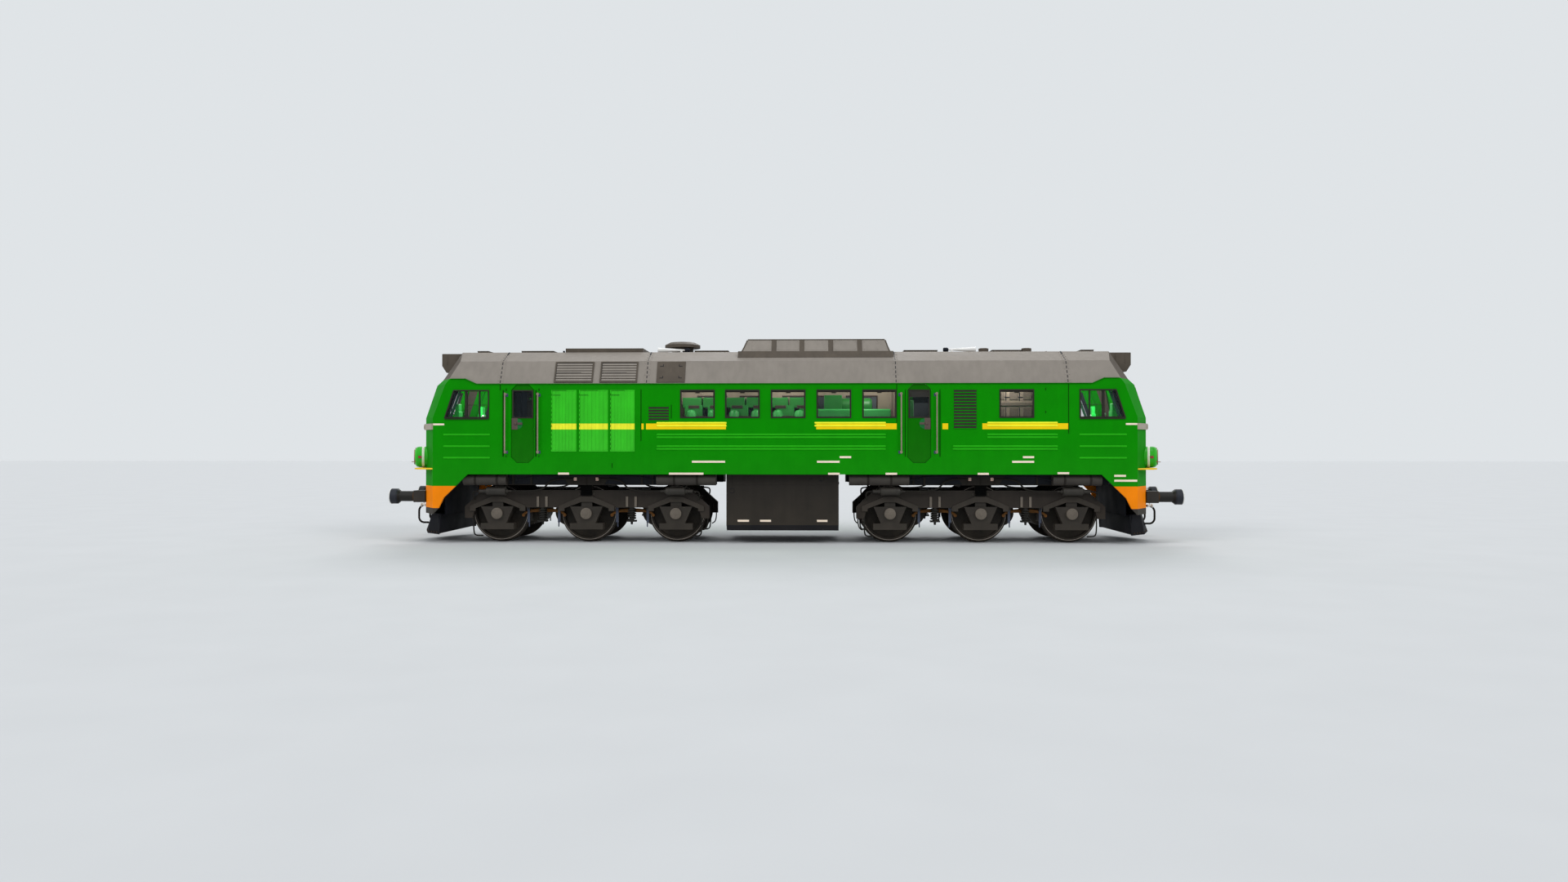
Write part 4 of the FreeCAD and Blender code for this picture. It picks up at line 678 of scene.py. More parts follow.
# ------------------------------------------------------------------ doors
# Four plated doors with cut corners, pressed from sheet round a fixed window in rubber; each has
# a dished pull and a screwed lock plate with its lever outside, and hangs on its inner edge.


def door_piece(body, name, bm, slot, material, **how):
    """Add a piece to a door; it is drawn for a left door, and turned over for a right one."""
    if body.endswith("right"):
        flipped(bm, "Y")
    piece(body + name, bm, slot, material, body=body, **how)


door_paint = finish("door_paint", "0b6e00", rough=0.55, mottle=0.06, streak=0.08, dust=0.05, dust_top=2.6, gloss=0.05)
dish_paint = finish("dish_paint", "156f34", rough=0.5, mottle=0.1)
lock_steel = finish("lock_steel", "5d5049", rough=0.45, metal=0.3, mottle=0.2, grain=120, gloss=0.3)
DOOR_FRAME = 0.024
for end, inward in (("rear", 1), ("front", -1)):
    low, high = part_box(end + "_door_left")
    latch, hinge = (low.x, high.x - 0.014) if inward > 0 else (high.x, low.x + 0.014)
    start, stop = sorted((latch + 0.001, hinge))
    outer = high.y
    near, far = latch + inward * 0.006, latch + inward * 0.135
    for side in ("left", "right"):
        body = end + "_door_" + side
        dress(door_paint, body)
        bm = bmesh.new()
        frame_round(bm, oblong(start + 0.018, stop - 0.018, SILL - 0.006, HEAD + 0.002), outer - 0.012, 0.030, 0.018)
        door_piece(body, "_rubber", bm, "window_glass", window_rubber, edge=0.002)
        bm = bmesh.new()
        solid_box(bm, (start + DOOR_FRAME - 0.003, outer - 0.028, SILL - 0.004),
                  (stop - DOOR_FRAME + 0.003, outer - 0.022, HEAD))
        door_piece(body, "_pane", bm, "window_glass", clear_glass, edge=0.001)
        bm = bmesh.new()
        turned(bm, [(0, -0.002), (0.112, -0.002), (0.112, 0.002), (0.104, 0.0035), (0, 0.0035)],
               (far, outer, 2.615), "Y", 40)
        door_piece(body, "_lock_dish", bm, "dark_green_paint", dish_paint)
        bm = bmesh.new()
        solid_box(bm, (near, outer - 0.001, 2.490), (far, outer + 0.007, 2.738))
        solid_box(bm, (far, outer + 0.006, 2.595), (far + inward * 0.105, outer + 0.020, 2.642))
        pivot = Vector((far - inward * 0.045, outer + 0.006, 2.618))
        turned(bm, [(0, -0.002), (0.034, -0.002), (0.034, 0.006), (0.024, 0.018), (0, 0.020)], pivot, "Y", 24)
        turned(bm, [(0, 0), (0.014, 0), (0.014, 0.004), (0.005, 0.006), (0, 0.006)],
               pivot + Vector((0, 0, -0.080)), "Y", 16)
        for along in (0.022, 0.119):
            for up in (2.505, 2.723):
                turned(bm, [(0, 0), (0.006, 0), (0.005, 0.004), (0, 0.005)],
                       (latch + inward * along, outer + 0.006, up), "Y", 6)
        door_piece(body, "_lock", bm, "rail_metal", lock_steel, edge=0.003)

# ------------------------------------------------------------------ radiator shutters
# Three banks of upright blades on each side in front of the radiators; each blade is a strip
# of folded sheet on two pins, and a pull rod opens the whole bank together.
shutter_paint = finish("shutter_paint", "33c81e", rough=0.45, mottle=0.07, streak=0.14, dust=0.10, dust_top=2.8,
                       plan=side_plan("33c81e", STRIPE_HIGH, ((-5.03, -3.21),), "ffff34"))
BANKS = ((-5.03, -4.48), (-4.42, -3.79), (-3.74, -3.21))
BANK_LOW, BANK_HIGH, BLADES = 2.01, 3.35, 7
shutter_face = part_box("radiator_shutters")[1].y
bm = bmesh.new()
for start, stop in BANKS:
    solid_box(bm, (start + 0.002, SIDE_FACE - 0.02, BANK_LOW + 0.002),
              (stop - 0.002, SIDE_FACE - 0.004, BANK_HIGH - 0.002))
    frame_round(bm, oblong(start, stop, BANK_LOW, BANK_HIGH), SIDE_FACE - 0.012, 0.020,
                shutter_face - SIDE_FACE + 0.012)
    pitch = (stop - start - 0.044) / BLADES
    for count in range(BLADES):
        middle = start + 0.022 + pitch * (count + 0.5)
        tilted(bm, (-pitch * 0.497, -0.0015, BANK_LOW + 0.024), (pitch * 0.497, 0.0015, BANK_HIGH - 0.024),
               math.radians(2.5), "Z", (middle, SIDE_FACE + 0.002, 0))
piece("shutter_blades", bm, "bright_green_paint", shutter_paint, "radiator_shutters", both="Y", edge=0.0012,
      steps=1)
bm = bmesh.new()
for start, stop in BANKS:
    for height in [2.08 + 0.0975 * count for count in range(13)]:
        solid_box(bm, (start + 0.003, SIDE_FACE - 0.002, height - 0.024),
                  (start + 0.011, shutter_face + 0.0015, height + 0.024))
    solid_box(bm, (start + 0.02, SIDE_FACE - 0.002, 3.235), (start + 0.20, shutter_face + 0.001, 3.243))
    solid_box(bm, (start + 0.012, SIDE_FACE - 0.002, BANK_HIGH - 0.014),
              (stop - 0.22, shutter_face + 0.001, BANK_HIGH - 0.007))
piece("shutter_pins", bm, "bright_green_paint", seam_and_shadow_paint, both="Y")

# ------------------------------------------------------------------ side louvres
# Two fixed grilles on each side let cooling air through the wall: folded steel slats welded
# between bars, painted dark behind and green in front.
LOUVRES = ((-2.906, -2.462, 2.683, 2.990, 5), (3.70, 4.19, 2.506, 3.353, 13))
louvre_dark = finish("louvre_dark", "292521", rough=0.7, mottle=0.2, dust=0.1, dust_top=3.5)
bm = bmesh.new()
for start, stop, low, high, slats in LOUVRES:
    solid_box(bm, (start, SIDE_FACE - 0.02, low), (stop, SIDE_FACE - 0.006, high))
    pitch = (high - low) / slats
    for count in range(slats):
        tilted(bm, (start + 0.004, -0.0025, -pitch * 0.36), (stop - 0.004, 0.0025, pitch * 0.36),
               math.radians(10), "X", (0, SIDE_FACE + 0.002, low + pitch * (count + 0.5)))
piece("louvre_slats", bm, "trim_paint", louvre_dark, "side_louvres", both="Y", edge=0.001, steps=1)
bm = bmesh.new()
for start, stop, low, high, slats in LOUVRES:
    pitch = (high - low) / slats
    for count in range(slats + 1):
        up = low + pitch * count
        solid_box(bm, (start + 0.002, SIDE_FACE - 0.006, up - pitch * 0.17),
                  (stop - 0.002, SIDE_FACE + 0.0060, up + pitch * 0.17))
piece("louvre_bars", bm, "trim_paint", side_paint, both="Y", edge=0.001, steps=1)

# ------------------------------------------------------------------ handrails
# Steel tube beside every door, bent into the wall at both ends, in front of a shallow
# recess that leaves room for a gloved hand; the shade in each recess is painted as a dark strip beside the rail with
# the side seams.
hand_steel = finish("hand_steel", "9b8d7c", rough=0.38, metal=0.35, mottle=0.15, grain=90, streak=0.15, gloss=0.4)
dress(hand_steel, "handrails")
RAILS = (-6.04, -5.33, 2.57, 3.335)
bm = bmesh.new()
for along in RAILS:
    for height in (2.0, 3.26):
        turned(bm, [(0, -0.002), (0.030, -0.002), (0.030, 0.004), (0.020, 0.009), (0, 0.009)],
               (along, SIDE_FACE, height), "Y", 20)
piece("rail_flanges", bm, "rail_metal", hand_steel, both="Y")
bm = bmesh.new()
for along in RAILS:
    for low, high in ((3.205, 3.275), (1.965, 2.03)):
        solid_box(bm, (along, SIDE_FACE - 0.004, low), (along - math.copysign(0.062, along), SIDE_FACE + 0.004, high))
recess_blue = finish("recess_blue", "3f4a66", rough=0.5, mottle=0.15)
piece("rail_clips", bm, "rail_metal", recess_blue, both="Y", edge=0.002)

# ------------------------------------------------------------------ roof
# Bolted roof sections of ribbed sheet over each cab and machine room, sealed at their joints,
# sprayed a warm grey that weathers darker in streaks.
roof_paint = finish("roof_paint", "8e877f", rough=0.6, mottle=0.06, patch=1.6, streak=0.10, grain=40, gloss=0.15)
trim_paint = finish("trim_paint", "595148", rough=0.55, mottle=0.12, patch=3, streak=0.15, gloss=0.15)
joint_navy = finish("joint_navy", "131720", rough=0.6, mottle=0.25)
dress(roof_paint, "roof_cooling", "roof_engine", "roof_electrical")


def slope_shade_plan(coating):
    """Roof grey on the sides and top, and painted shade on the faces that look along the track: a darker grey on the
    front slopes and a dark brown on the corner faces.
    """
    ends = coating.over(coating.reach(coating.facing(), "X"), 0.5)
    corner = coating.over(coating.reach(coating.facing(), "Y"), 0.3)
    return coating.mix(ends, "8e877f", coating.mix(corner, "6c645b", "595148"))


# The cab roofs' grey carries painted shade on the faces that look along the track.
cab_roof_paint_and_shade = finish("cab_roof_paint_and_shade", "8e877f", rough=0.6, mottle=0.06, patch=1.6, streak=0.10, grain=40,
                        gloss=0.15, plan=slope_shade_plan)
dress(cab_roof_paint_and_shade, "cab_roof_front", "cab_roof_rear")
dress(trim_paint, "roof_headlights", "roof_hatches", "fan_shutter", "exhaust_cowl")


def leaning(foot, head):
    """A leaning face's lean and length, from where its foot and head are (y, z)."""
    return math.atan2(foot[0] - head[0], head[1] - foot[1]), math.hypot(foot[0] - head[0], head[1] - foot[1])


def laid(bm, verts, angle, foot):
    """Lay parts made flat against y = 0 on a face that leans in by an angle from its foot (y, z)."""
    bmesh.ops.rotate(bm, verts=verts, matrix=Matrix.Rotation(angle, 3, "X"))
    bmesh.ops.translate(bm, verts=verts, vec=(0, *foot))


def laid_since(bm, before, angle, foot):
    """Lay all that was added since a mesh had only these verts."""
    laid(bm, [v for v in bm.verts if v not in before], angle, foot)


EAVES, SHOULDER, CROWN = (1.475, 3.486), (1.240, 3.995), (0.735, 4.235)
SLOPE, SLOPE_LENGTH = leaning(EAVES, SHOULDER)
SHOULDER_SLOPE, SHOULDER_LENGTH = leaning(SHOULDER, CROWN)
ROOF_FACES = ((SLOPE, EAVES, SLOPE_LENGTH), (SHOULDER_SLOPE, SHOULDER, SHOULDER_LENGTH))
ROOF_JOINTS, DASHES = (-6.155, -2.953, 2.46, 6.155), 5
OUTWARD = Matrix.Rotation(-math.pi / 2, 3, "X")
bm = bmesh.new()
for along in ROOF_JOINTS:
    for angle, foot, length in ROOF_FACES:
        for count in range(DASHES):
            low = length * (count + 0.2) / DASHES
            laid(bm, solid_box(bm, (along - 0.007, -0.004, low), (along + 0.007, 0.004, low + length * 0.6 / DASHES)),
                 angle, foot)
    laid(bm, solid_box(bm, (along - 0.014, -0.004, SHOULDER_LENGTH * 0.72),
                       (along + 0.014, 0.008, SHOULDER_LENGTH - 0.01)), SHOULDER_SLOPE, SHOULDER)
    for count in range(6):
        solid_box(bm, (along - 0.007, 0.03 + count * 0.12, CROWN[1] - 0.004),
                  (along + 0.007, 0.10 + count * 0.12, CROWN[1] + 0.004))
piece("roof_joints", bm, "roof_paint", joint_navy, both="Y")

bm = bmesh.new()
for along in ROOF_JOINTS:
    for offset in (-0.045, 0.045):
        for angle, foot, length in ROOF_FACES:
            laid(bm, solid_box(bm, (along + offset - 0.022, -0.004, 0.01),
                               (along + offset + 0.022, 0.003, length - 0.01)), angle, foot)
            for count in range(4):
                spot = (along + offset, 0.006, length * (count + 0.5) / 4)
                laid(bm, stud(bm, spot, 0.010, 0.008, 0.010, OUTWARD), angle, foot)
piece("roof_joint_straps", bm, "roof_paint", roof_paint, both="Y", edge=0.0015, steps=1)

# ------------------------------------------------------------------ roof grilles
# Two air grilles of folded blades in angle frames on the slope over the radiators, and a plain
# plate held by corner brackets beside them.
PANEL_LOW, PANEL_HIGH, PANEL_DEEP = 0.026, 0.538, 0.020
GRILLES = ((-4.98, -4.13), (-3.98, -3.16))
bm = bmesh.new()
for start, stop in GRILLES:
    before = set(bm.verts)
    solid_box(bm, (start + 0.002, -0.004, PANEL_LOW + 0.002), (stop - 0.002, 0.005, PANEL_HIGH - 0.002))
    frame_round(bm, oblong(start, stop, PANEL_LOW, PANEL_HIGH), 0.0, 0.032, PANEL_DEEP)
    laid_since(bm, before, SLOPE, EAVES)
before = set(bm.verts)
solid_box(bm, (-2.74, -0.004, PANEL_LOW), (-2.12, PANEL_DEEP - 0.004, PANEL_HIGH))
laid_since(bm, before, SLOPE, EAVES)
piece("roof_grille_frames", bm, "trim_paint", trim_paint, "roof_panels", both="Y", edge=0.003)
bm = bmesh.new()
for start, stop in GRILLES:
    pitch = (PANEL_HIGH - PANEL_LOW - 0.064) / BLADES
    for count in range(BLADES):
        blade = tilted(bm, (start + 0.034, -0.0015, -pitch * 0.37), (stop - 0.034, 0.0015, pitch * 0.37),
                       math.radians(8), "X", (0, 0.012, PANEL_LOW + 0.032 + pitch * (count + 0.5)))
        laid(bm, blade, SLOPE, EAVES)
piece("roof_grille_blades", bm, "trim_paint", roof_paint, both="Y")
bm = bmesh.new()
for start, stop in GRILLES:
    before = set(bm.verts)
    for low, high, left, right in ((PANEL_HIGH - 0.037, PANEL_HIGH - 0.031, start + 0.032, stop - 0.035),
                                   (PANEL_LOW + 0.24, PANEL_LOW + 0.247, start + 0.035, start + 0.58),
                                   (PANEL_LOW + 0.031, PANEL_LOW + 0.037, start + 0.32, stop - 0.032)):
        solid_box(bm, (left, 0.004, low), (right, PANEL_DEEP - 0.002, high))
    solid_box(bm, (start + 0.031, 0.004, PANEL_LOW + 0.031), (start + 0.036, PANEL_DEEP - 0.001, PANEL_HIGH - 0.031))
    laid_since(bm, before, SLOPE, EAVES)
for along in (-2.64, -2.22):
    for up in (0.13, 0.42):
        before = set(bm.verts)
        turn = 1 if along < -2.4 else -1
        solid_box(bm, (along - 0.035, 0.01, up - 0.006), (along + 0.035, PANEL_DEEP, up + 0.006))
        solid_box(bm, (along + turn * 0.035 - 0.006, 0.01, up - 0.006),
                  (along + turn * 0.035 + 0.006, PANEL_DEEP, up + 0.05))
        laid_since(bm, before, SLOPE, EAVES)
piece("roof_grille_pins", bm, "trim_paint", joint_navy, both="Y")

# ------------------------------------------------------------------ raised engine housing
# A welded box over the engine with removable side panels between posts, a dark base flange
# and a thin lid that overhangs its sloping ends.
dress(roof_paint, "raised_housing")
HOUSE_FOOT, HOUSE_TOP = (1.05, 4.09), (0.76, 4.515)
HOUSE_LEAN, HOUSE_SLANT = leaning(HOUSE_FOOT, HOUSE_TOP)
bm = bmesh.new()
before = set(bm.verts)
solid_box(bm, (-0.995, -0.01, -0.01), (2.438, 0.008, HOUSE_SLANT * 0.33))
for along in (-0.20, 0.42, 1.06, 1.70):
    solid_box(bm, (along - 0.055, -0.01, HOUSE_SLANT * 0.3), (along + 0.055, 0.006, HOUSE_SLANT - 0.01))
laid_since(bm, before, HOUSE_LEAN, HOUSE_FOOT)
for foot, head in ((-0.93, -0.80), (2.375, 2.275)):
    strut(bm, (foot, 1.0, 4.16), (head, 0.78, 4.49), 0.014, segments=6)
solid_box(bm, (-0.79, 0, 4.500), (2.26, 0.78, 4.517))
for along in (-0.70, 0.02, 0.74, 1.46):
    solid_box(bm, (along, 0.05, 4.512), (along + 0.66, 0.70, 4.5205))
piece("housing_trim", bm, "trim_paint", trim_paint, both="Y", edge=0.002)
bm = bmesh.new()
before = set(bm.verts)
for start, stop in ((-0.70, -0.28), (-0.12, 0.34), (0.50, 0.98), (1.14, 1.62), (1.78, 2.12)):
    solid_box(bm, (start, -0.004, HOUSE_SLANT * 0.40), (stop, 0.003, HOUSE_SLANT * 0.90))
    for along in (start + 0.02, stop - 0.02):
        for up in (0.44, 0.86):
            stud(bm, (along, 0.005, HOUSE_SLANT * up), 0.009, 0.007, 0.008, OUTWARD)
laid_since(bm, before, HOUSE_LEAN, HOUSE_FOOT)
piece("housing_panels", bm, "trim_paint", roof_paint, both="Y", edge=0.001, steps=1)

# ------------------------------------------------------------------ roof fittings
# Lamp glasses in screwed rims on the headlight boxes, hatch covers with clamps, a lattice of
# steel bar over the fan, and horns of cast aluminium painted white, with dark drivers.
lamp_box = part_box("roof_headlights")[1]
LAMP_UP = 4.107
bm = bmesh.new()
turned(bm, [(0.118, -0.01), (0.118, 0.010), (0.112, 0.016), (0.104, 0.016), (0.098, 0.006), (0.098, -0.01)],
       (lamp_box.x, 0, LAMP_UP), "X", 40)
for across, up in around(8, 0.112, 22.5):
    strut(bm, (lamp_box.x + 0.005, across, LAMP_UP + up), (lamp_box.x + 0.020, across, LAMP_UP + up), 0.006, segments=6)
solid_box(bm, (7.13, -0.29, lamp_box.z - 0.002), (7.83, 0.29, lamp_box.z + 0.004))
for along in (7.25, 7.5, 7.72):
    for across in (-0.302, 0.302):
        solid_box(bm, (along - 0.012, across - 0.004, 4.0), (along + 0.012, across + 0.004, 4.20))
piece("headlight_rims", bm, "trim_paint", trim_paint, both="X", edge=0.002)
bm = bmesh.new()
turned(bm, [(0, 0.010), (0.03, 0.0095), (0.06, 0.007), (0.085, 0.003), (0.099, -0.003), (0.099, -0.008), (0, -0.008)],
       (lamp_box.x, 0, LAMP_UP), "X", 40)
piece("headlight_lenses", bm, "trim_paint", lens_glass, both="X")

bm = bmesh.new()
for count in range(11):
    along = -4.80 + count * 0.155
    solid_box(bm, (along - 0.012, -0.62, 4.315), (along + 0.012, 0.62, 4.334))
for across in (-0.4, -0.2, 0, 0.2, 0.4):
    solid_box(bm, (-4.86, across - 0.008, 4.309), (-3.19, across + 0.008, 4.328))
solid_box(bm, (-3.48, -0.3, 4.325), (-3.23, 0.3, 4.345))
piece("fan_guard", bm, "trim_paint", trim_paint, edge=0.002, steps=1)

ROOF_LEVEL, HATCH_TOP = CROWN[1], CROWN[1] + 0.062
bm = bmesh.new()
for start, stop in ((-6.98, -6.735), (-5.97, -5.24), (-2.02, -1.255), (2.725, 3.475), (4.705, 5.36), (6.695, 6.975)):
    solid_box(bm, (start - 0.012, -0.44, ROOF_LEVEL - 0.003), (stop + 0.012, 0.44, ROOF_LEVEL + 0.010))
    solid_box(bm, (start - 0.006, -0.426, HATCH_TOP - 0.008), (stop + 0.006, 0.426, HATCH_TOP + 0.004))
    for along in (start + 0.06, stop - 0.06):
        for across in (-0.44, 0.44):
            solid_box(bm, (along - 0.02, across - 0.02, ROOF_LEVEL), (along + 0.02, across + 0.02, ROOF_LEVEL + 0.045))
            turned(bm, [(0, 0), (0.012, 0), (0.010, 0.014), (0, 0.016)], (along, across, ROOF_LEVEL + 0.044), "Z", 8)
for along in (4.518, 5.482):
    turned(bm, [(0.10, 0.02), (0.118, 0.022), (0.118, 0.034), (0.10, 0.036)], (along, -0.36, ROOF_LEVEL), "Z", 36)
    turned(bm, [(0, 0.096), (0.104, 0.096), (0.104, 0.100), (0.09, 0.106), (0, 0.108)], (along, -0.36, ROOF_LEVEL),
           "Z", 36)
turned(bm, [(0, -0.002), (0.03, -0.002), (0.03, 0.028), (0.012, 0.034), (0, 0.035)], (5.91, -0.42, ROOF_LEVEL), "Z", 16)
piece("hatch_fittings", bm, "trim_paint", trim_paint, edge=0.002)
bm = bmesh.new()
for start, stop in ((3.61, 3.725), (-2.245, -2.13)):
    turned(bm, [(0, 0), (0.042, 0), (0.052, 0.02), (0.052, 0.09), (0.036, 0.115), (0, 0.115)],
           (start, -0.36, ROOF_LEVEL + 0.074), "X", 24)
    solid_box(bm, (start + 0.035, -0.385, ROOF_LEVEL - 0.003), (start + 0.08, -0.335, ROOF_LEVEL + 0.03))
turned(bm, [(0, -0.002), (0.024, -0.002), (0.024, 0.058), (0.012, 0.068), (0, 0.069)], (-5.0, -0.42, ROOF_LEVEL), "Z",
       16)
piece("horn_drivers", bm, "trim_paint", joint_navy, edge=0.002)
horn_white = finish("horn_white", "f4f4f2", rough=0.4, mottle=0.06, streak=0.1, dust=0.05, gloss=0.2)
dress(horn_white, "horns")

# ------------------------------------------------------------------ underframe and fuel tank
# The welded sills, headstocks and bearer brackets that carry the body, and the fuel tank hung
# between the bogies, with weld seams, a gauge, filler necks and drain cocks.
frame_grey = finish("frame_grey", "292521", rough=0.65, mottle=0.14, streak=0.12, dust=0.12, dust_top=1.5, grain=80,
                    gloss=0.14)
# The underframe and the air pipes along it are painted navy: the shade under the body painted into their colour.
sill_shade_navy = finish("sill_shade_navy", "151a22", rough=0.65, mottle=0.14, streak=0.12, dust=0.10, dust_top=1.7, gloss=0.14)
dress(sill_shade_navy, "underframe")


def bolt(bm, centre, axis, radius=0.011, tall=0.009):
    """A hexagon bolt head on its washer."""
    turned(bm, [(0, -0.002), (radius * 1.35, -0.002), (radius * 1.35, 0.002), (radius, 0.002)], centre, axis, 12)
    return turned(bm, [(0, 0.0), (radius, 0.0), (radius, tall * 0.8), (radius * 0.85, tall), (0, tall)], centre, axis,
                  6)


def plate(bm, corners, thickness):
    """A flat plate with these corners, made as thick as a move to its other face."""
    sheet = bm.faces.new([bm.verts.new(corner) for corner in corners])
    grown = bmesh.ops.extrude_face_region(bm, geom=[sheet])["geom"]
    bmesh.ops.translate(bm, vec=thickness, verts=only(grown, bmesh.types.BMVert))
    bmesh.ops.recalc_face_normals(bm, faces=bm.faces[:])


PIVOT, BRACKET_FACE, BRACKET_FOOT, SOLE = 4.325, 1.160, 1.270, 1.600
bm = bmesh.new()
plate(bm, [(PIVOT + x, BRACKET_FACE - 0.002, z) for x, z in
           ((-0.39, BRACKET_FOOT + 0.004), (0.39, BRACKET_FOOT + 0.004), (0.60, SOLE - 0.01), (-0.60, SOLE - 0.01))],
      (0, 0.014, 0))
for along in (-0.30, 0, 0.30):
    solid_box(bm, (PIVOT + along - 0.006, BRACKET_FACE, BRACKET_FOOT + 0.02),
              (PIVOT + along + 0.006, BRACKET_FACE + 0.03, SOLE - 0.01))
for along in (-0.45, -0.15, 0.15, 0.45):
    bolt(bm, (PIVOT + along, BRACKET_FACE + 0.012, 1.54), "Y")
for along in (5.95, 5.55, 3.10, 2.86):
    solid_box(bm, (along - 0.022, 1.140, 1.285), (along + 0.022, 1.170, SOLE))
solid_box(bm, (1.5, 1.13, 1.272), (7.0, 1.165, 1.288))
piece("bearer_plates", bm, "frame_paint", frame_grey, both="YX", edge=0.003)

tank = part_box("fuel_tank")


def tank_underside_shade_plan(coating):
    """Tank grey, with the faces that look downwards painted navy as painted shade."""
    return coating.mix(coating.under(coating.axes(coating.facing())["Z"], -0.2), "292521", "131720")


tank_paint_and_shade = finish("tank_paint_and_shade", "292521", rough=0.6, mottle=0.10, streak=0.14, dust=0.10, dust_top=1.2, grain=50,
                    gloss=0.15, plan=tank_underside_shade_plan)
dress(tank_paint_and_shade, "fuel_tank")
bm = bmesh.new()
face = tank[1].y
solid_box(bm, (-1.10, face - 0.004, 1.278), (1.08, face + 0.003, 1.284))
solid_box(bm, (-1.104, face - 0.004, 1.284), (-1.096, face + 0.004, 1.512))
solid_box(bm, (-1.222, face - 0.004, 0.405), (1.222, face + 0.003, 0.411))
for along, height in ((-1.10, 1.165), (0.845, 1.42)):
    turned(bm, [(0, -0.002), (0.060, -0.002), (0.060, 0.005), (0.050, 0.009), (0.040, 0.005), (0, 0.005)],
           (along, face, height), "Y", 32)
    for over, up in around(8, 0.052):
        bolt(bm, (along + over, face + 0.006, height + up), "Y", 0.005, 0.006)
for along in (0.585, 0.63):
    bolt(bm, (along, face, 1.42), "Y", 0.012)
bolt(bm, (0.635, face, 0.83), "Y", 0.009)
for along in (-0.75, 0.0, 0.75):
    solid_box(bm, (along - 0.03, face - 0.004, 1.44), (along + 0.03, face + 0.012, 1.515))
    bolt(bm, (along, face + 0.012, 1.475), "Y", 0.009)
for across in (0.5, -0.5):
    turned(bm, [(0, 0), (0.055, 0), (0.055, 0.014), (0.030, 0.020), (0.022, 0.030), (0, 0.030)],
           (tank[1].x - 0.001, across, 1.30), "X", 24)
piece("tank_fittings", bm, "frame_paint", tank_paint_and_shade, both="Y", edge=0.0015, steps=1)

# ------------------------------------------------------------------ air reservoirs
# Eight rolled and welded air bottles strapped under the sole bar, with domed ends, drain plugs
# and a pipe run between them.
reservoir_paint = finish("reservoir_paint", "3a3632", rough=0.5, mottle=0.12, streak=0.1, dust=0.12, dust_top=1.9,
                         gloss=0.25)
dress(reservoir_paint, "air_reservoirs")
low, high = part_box("air_reservoirs")
BOTTLE_R = (high.z - low.z) / 2
bottle_up, bottle_out = (low.z + high.z) / 2, high.y - BOTTLE_R
bm = bmesh.new()
for bands in ((-6.73, -6.25), (-2.36, -1.86), (1.86, 2.36), (6.10, 6.66)):
    for along in bands:
        band(bm, BOTTLE_R - 0.002, BOTTLE_R + 0.004, -0.024, 0.024, (along, bottle_out, bottle_up), "X", 40)
        solid_box(bm, (along - 0.024, bottle_out - 0.02, bottle_up + BOTTLE_R - 0.004),
                  (along + 0.024, bottle_out + 0.02, SOLE))
        solid_box(bm, (along - 0.024, bottle_out + BOTTLE_R - 0.006, bottle_up - 0.02),
                  (along + 0.024, bottle_out + BOTTLE_R + 0.010, bottle_up + 0.02))
        bolt(bm, (along, bottle_out + BOTTLE_R + 0.008, bottle_up), "Y", 0.007)
for along in (-6.52, -2.1, 2.1, 6.4):
    band(bm, 0, 0.016, -0.03, 0, (along, bottle_out, bottle_up - BOTTLE_R + 0.002), "Z", 12)
piece("reservoir_straps", bm, "frame_paint", frame_grey, both="Y", edge=0.0015, steps=1)
bm = bmesh.new()
for end in (-1, 1):
    pipe(bm, [(end * 2.74, bottle_out, bottle_up), (end * 2.95, bottle_out, bottle_up),
              (end * 3.0, bottle_out - 0.08, bottle_up + 0.05), (end * 3.3, 1.19, 1.47), (end * 5.4, 1.19, 1.47),
              (end * 5.65, bottle_out - 0.06, bottle_up + 0.04), (end * 5.72, bottle_out, bottle_up),
              (end * 5.86, bottle_out, bottle_up)], 0.013)
piece("air_pipes", bm, "frame_paint", sill_shade_navy, both="Y")

# ------------------------------------------------------------------ buffers and draw gear
# Forged buffers on bolted base blocks, with a white rim for shunters to see, and a draw hook
# whose eye is painted white.


def buffer_plan(coating):
    """Base block grey, a greased black shank, a navy head."""
    out = coating.reach(coating.here, "X")
    colour = coating.mix(coating.over(out, 8.232), "2b2723", "0f0e0d")
    return coating.mix(coating.over(out, 8.60), colour, "161b26")


buffer_paint = finish("buffer_paint", "2b2723", rough=0.5, mottle=0.15, gloss=0.3, plan=buffer_plan, dust=0.05)
dress(buffer_paint, "buffers")
low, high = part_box("buffers")
BUFFER_OUT, BUFFER_UP, BUFFER_R = 0.875, (low.z + high.z) / 2, 0.170
bm = bmesh.new()
turned(bm, [(BUFFER_R - 0.030, -0.003), (BUFFER_R - 0.030, 0.002), (BUFFER_R - 0.002, 0.002),
            (BUFFER_R + 0.002, -0.004), (BUFFER_R + 0.002, -0.016), (BUFFER_R - 0.004, -0.016)],
       (high.x, BUFFER_OUT, BUFFER_UP), "X", 48)
white_paint = finish("white_paint", "f4f4f0", rough=0.45, mottle=0.06, streak=0.12, dust=0.06, gloss=0.2)
piece("buffer_rims", bm, "black_paint", white_paint, both="YX")
bm = bmesh.new()
for across in (-0.105, 0.105):
    for up in (-0.105, 0.105):
        bolt(bm, (8.228, BUFFER_OUT + across, BUFFER_UP + up), "X", 0.014, 0.012)
turned(bm, [(0.112, 0), (0.128, 0), (0.128, 0.025), (0.118, 0.032), (0.112, 0.032)], (8.229, BUFFER_OUT, BUFFER_UP),
       "X", 40)
turned(bm, [(0, -0.002), (0.11, -0.001), (0.07, 0.0015), (0, 0.003)], (high.x, BUFFER_OUT, BUFFER_UP), "X", 40)
bolt_rust = finish("bolt_rust", "4a3522", rough=0.7, mottle=0.3, patch=20)
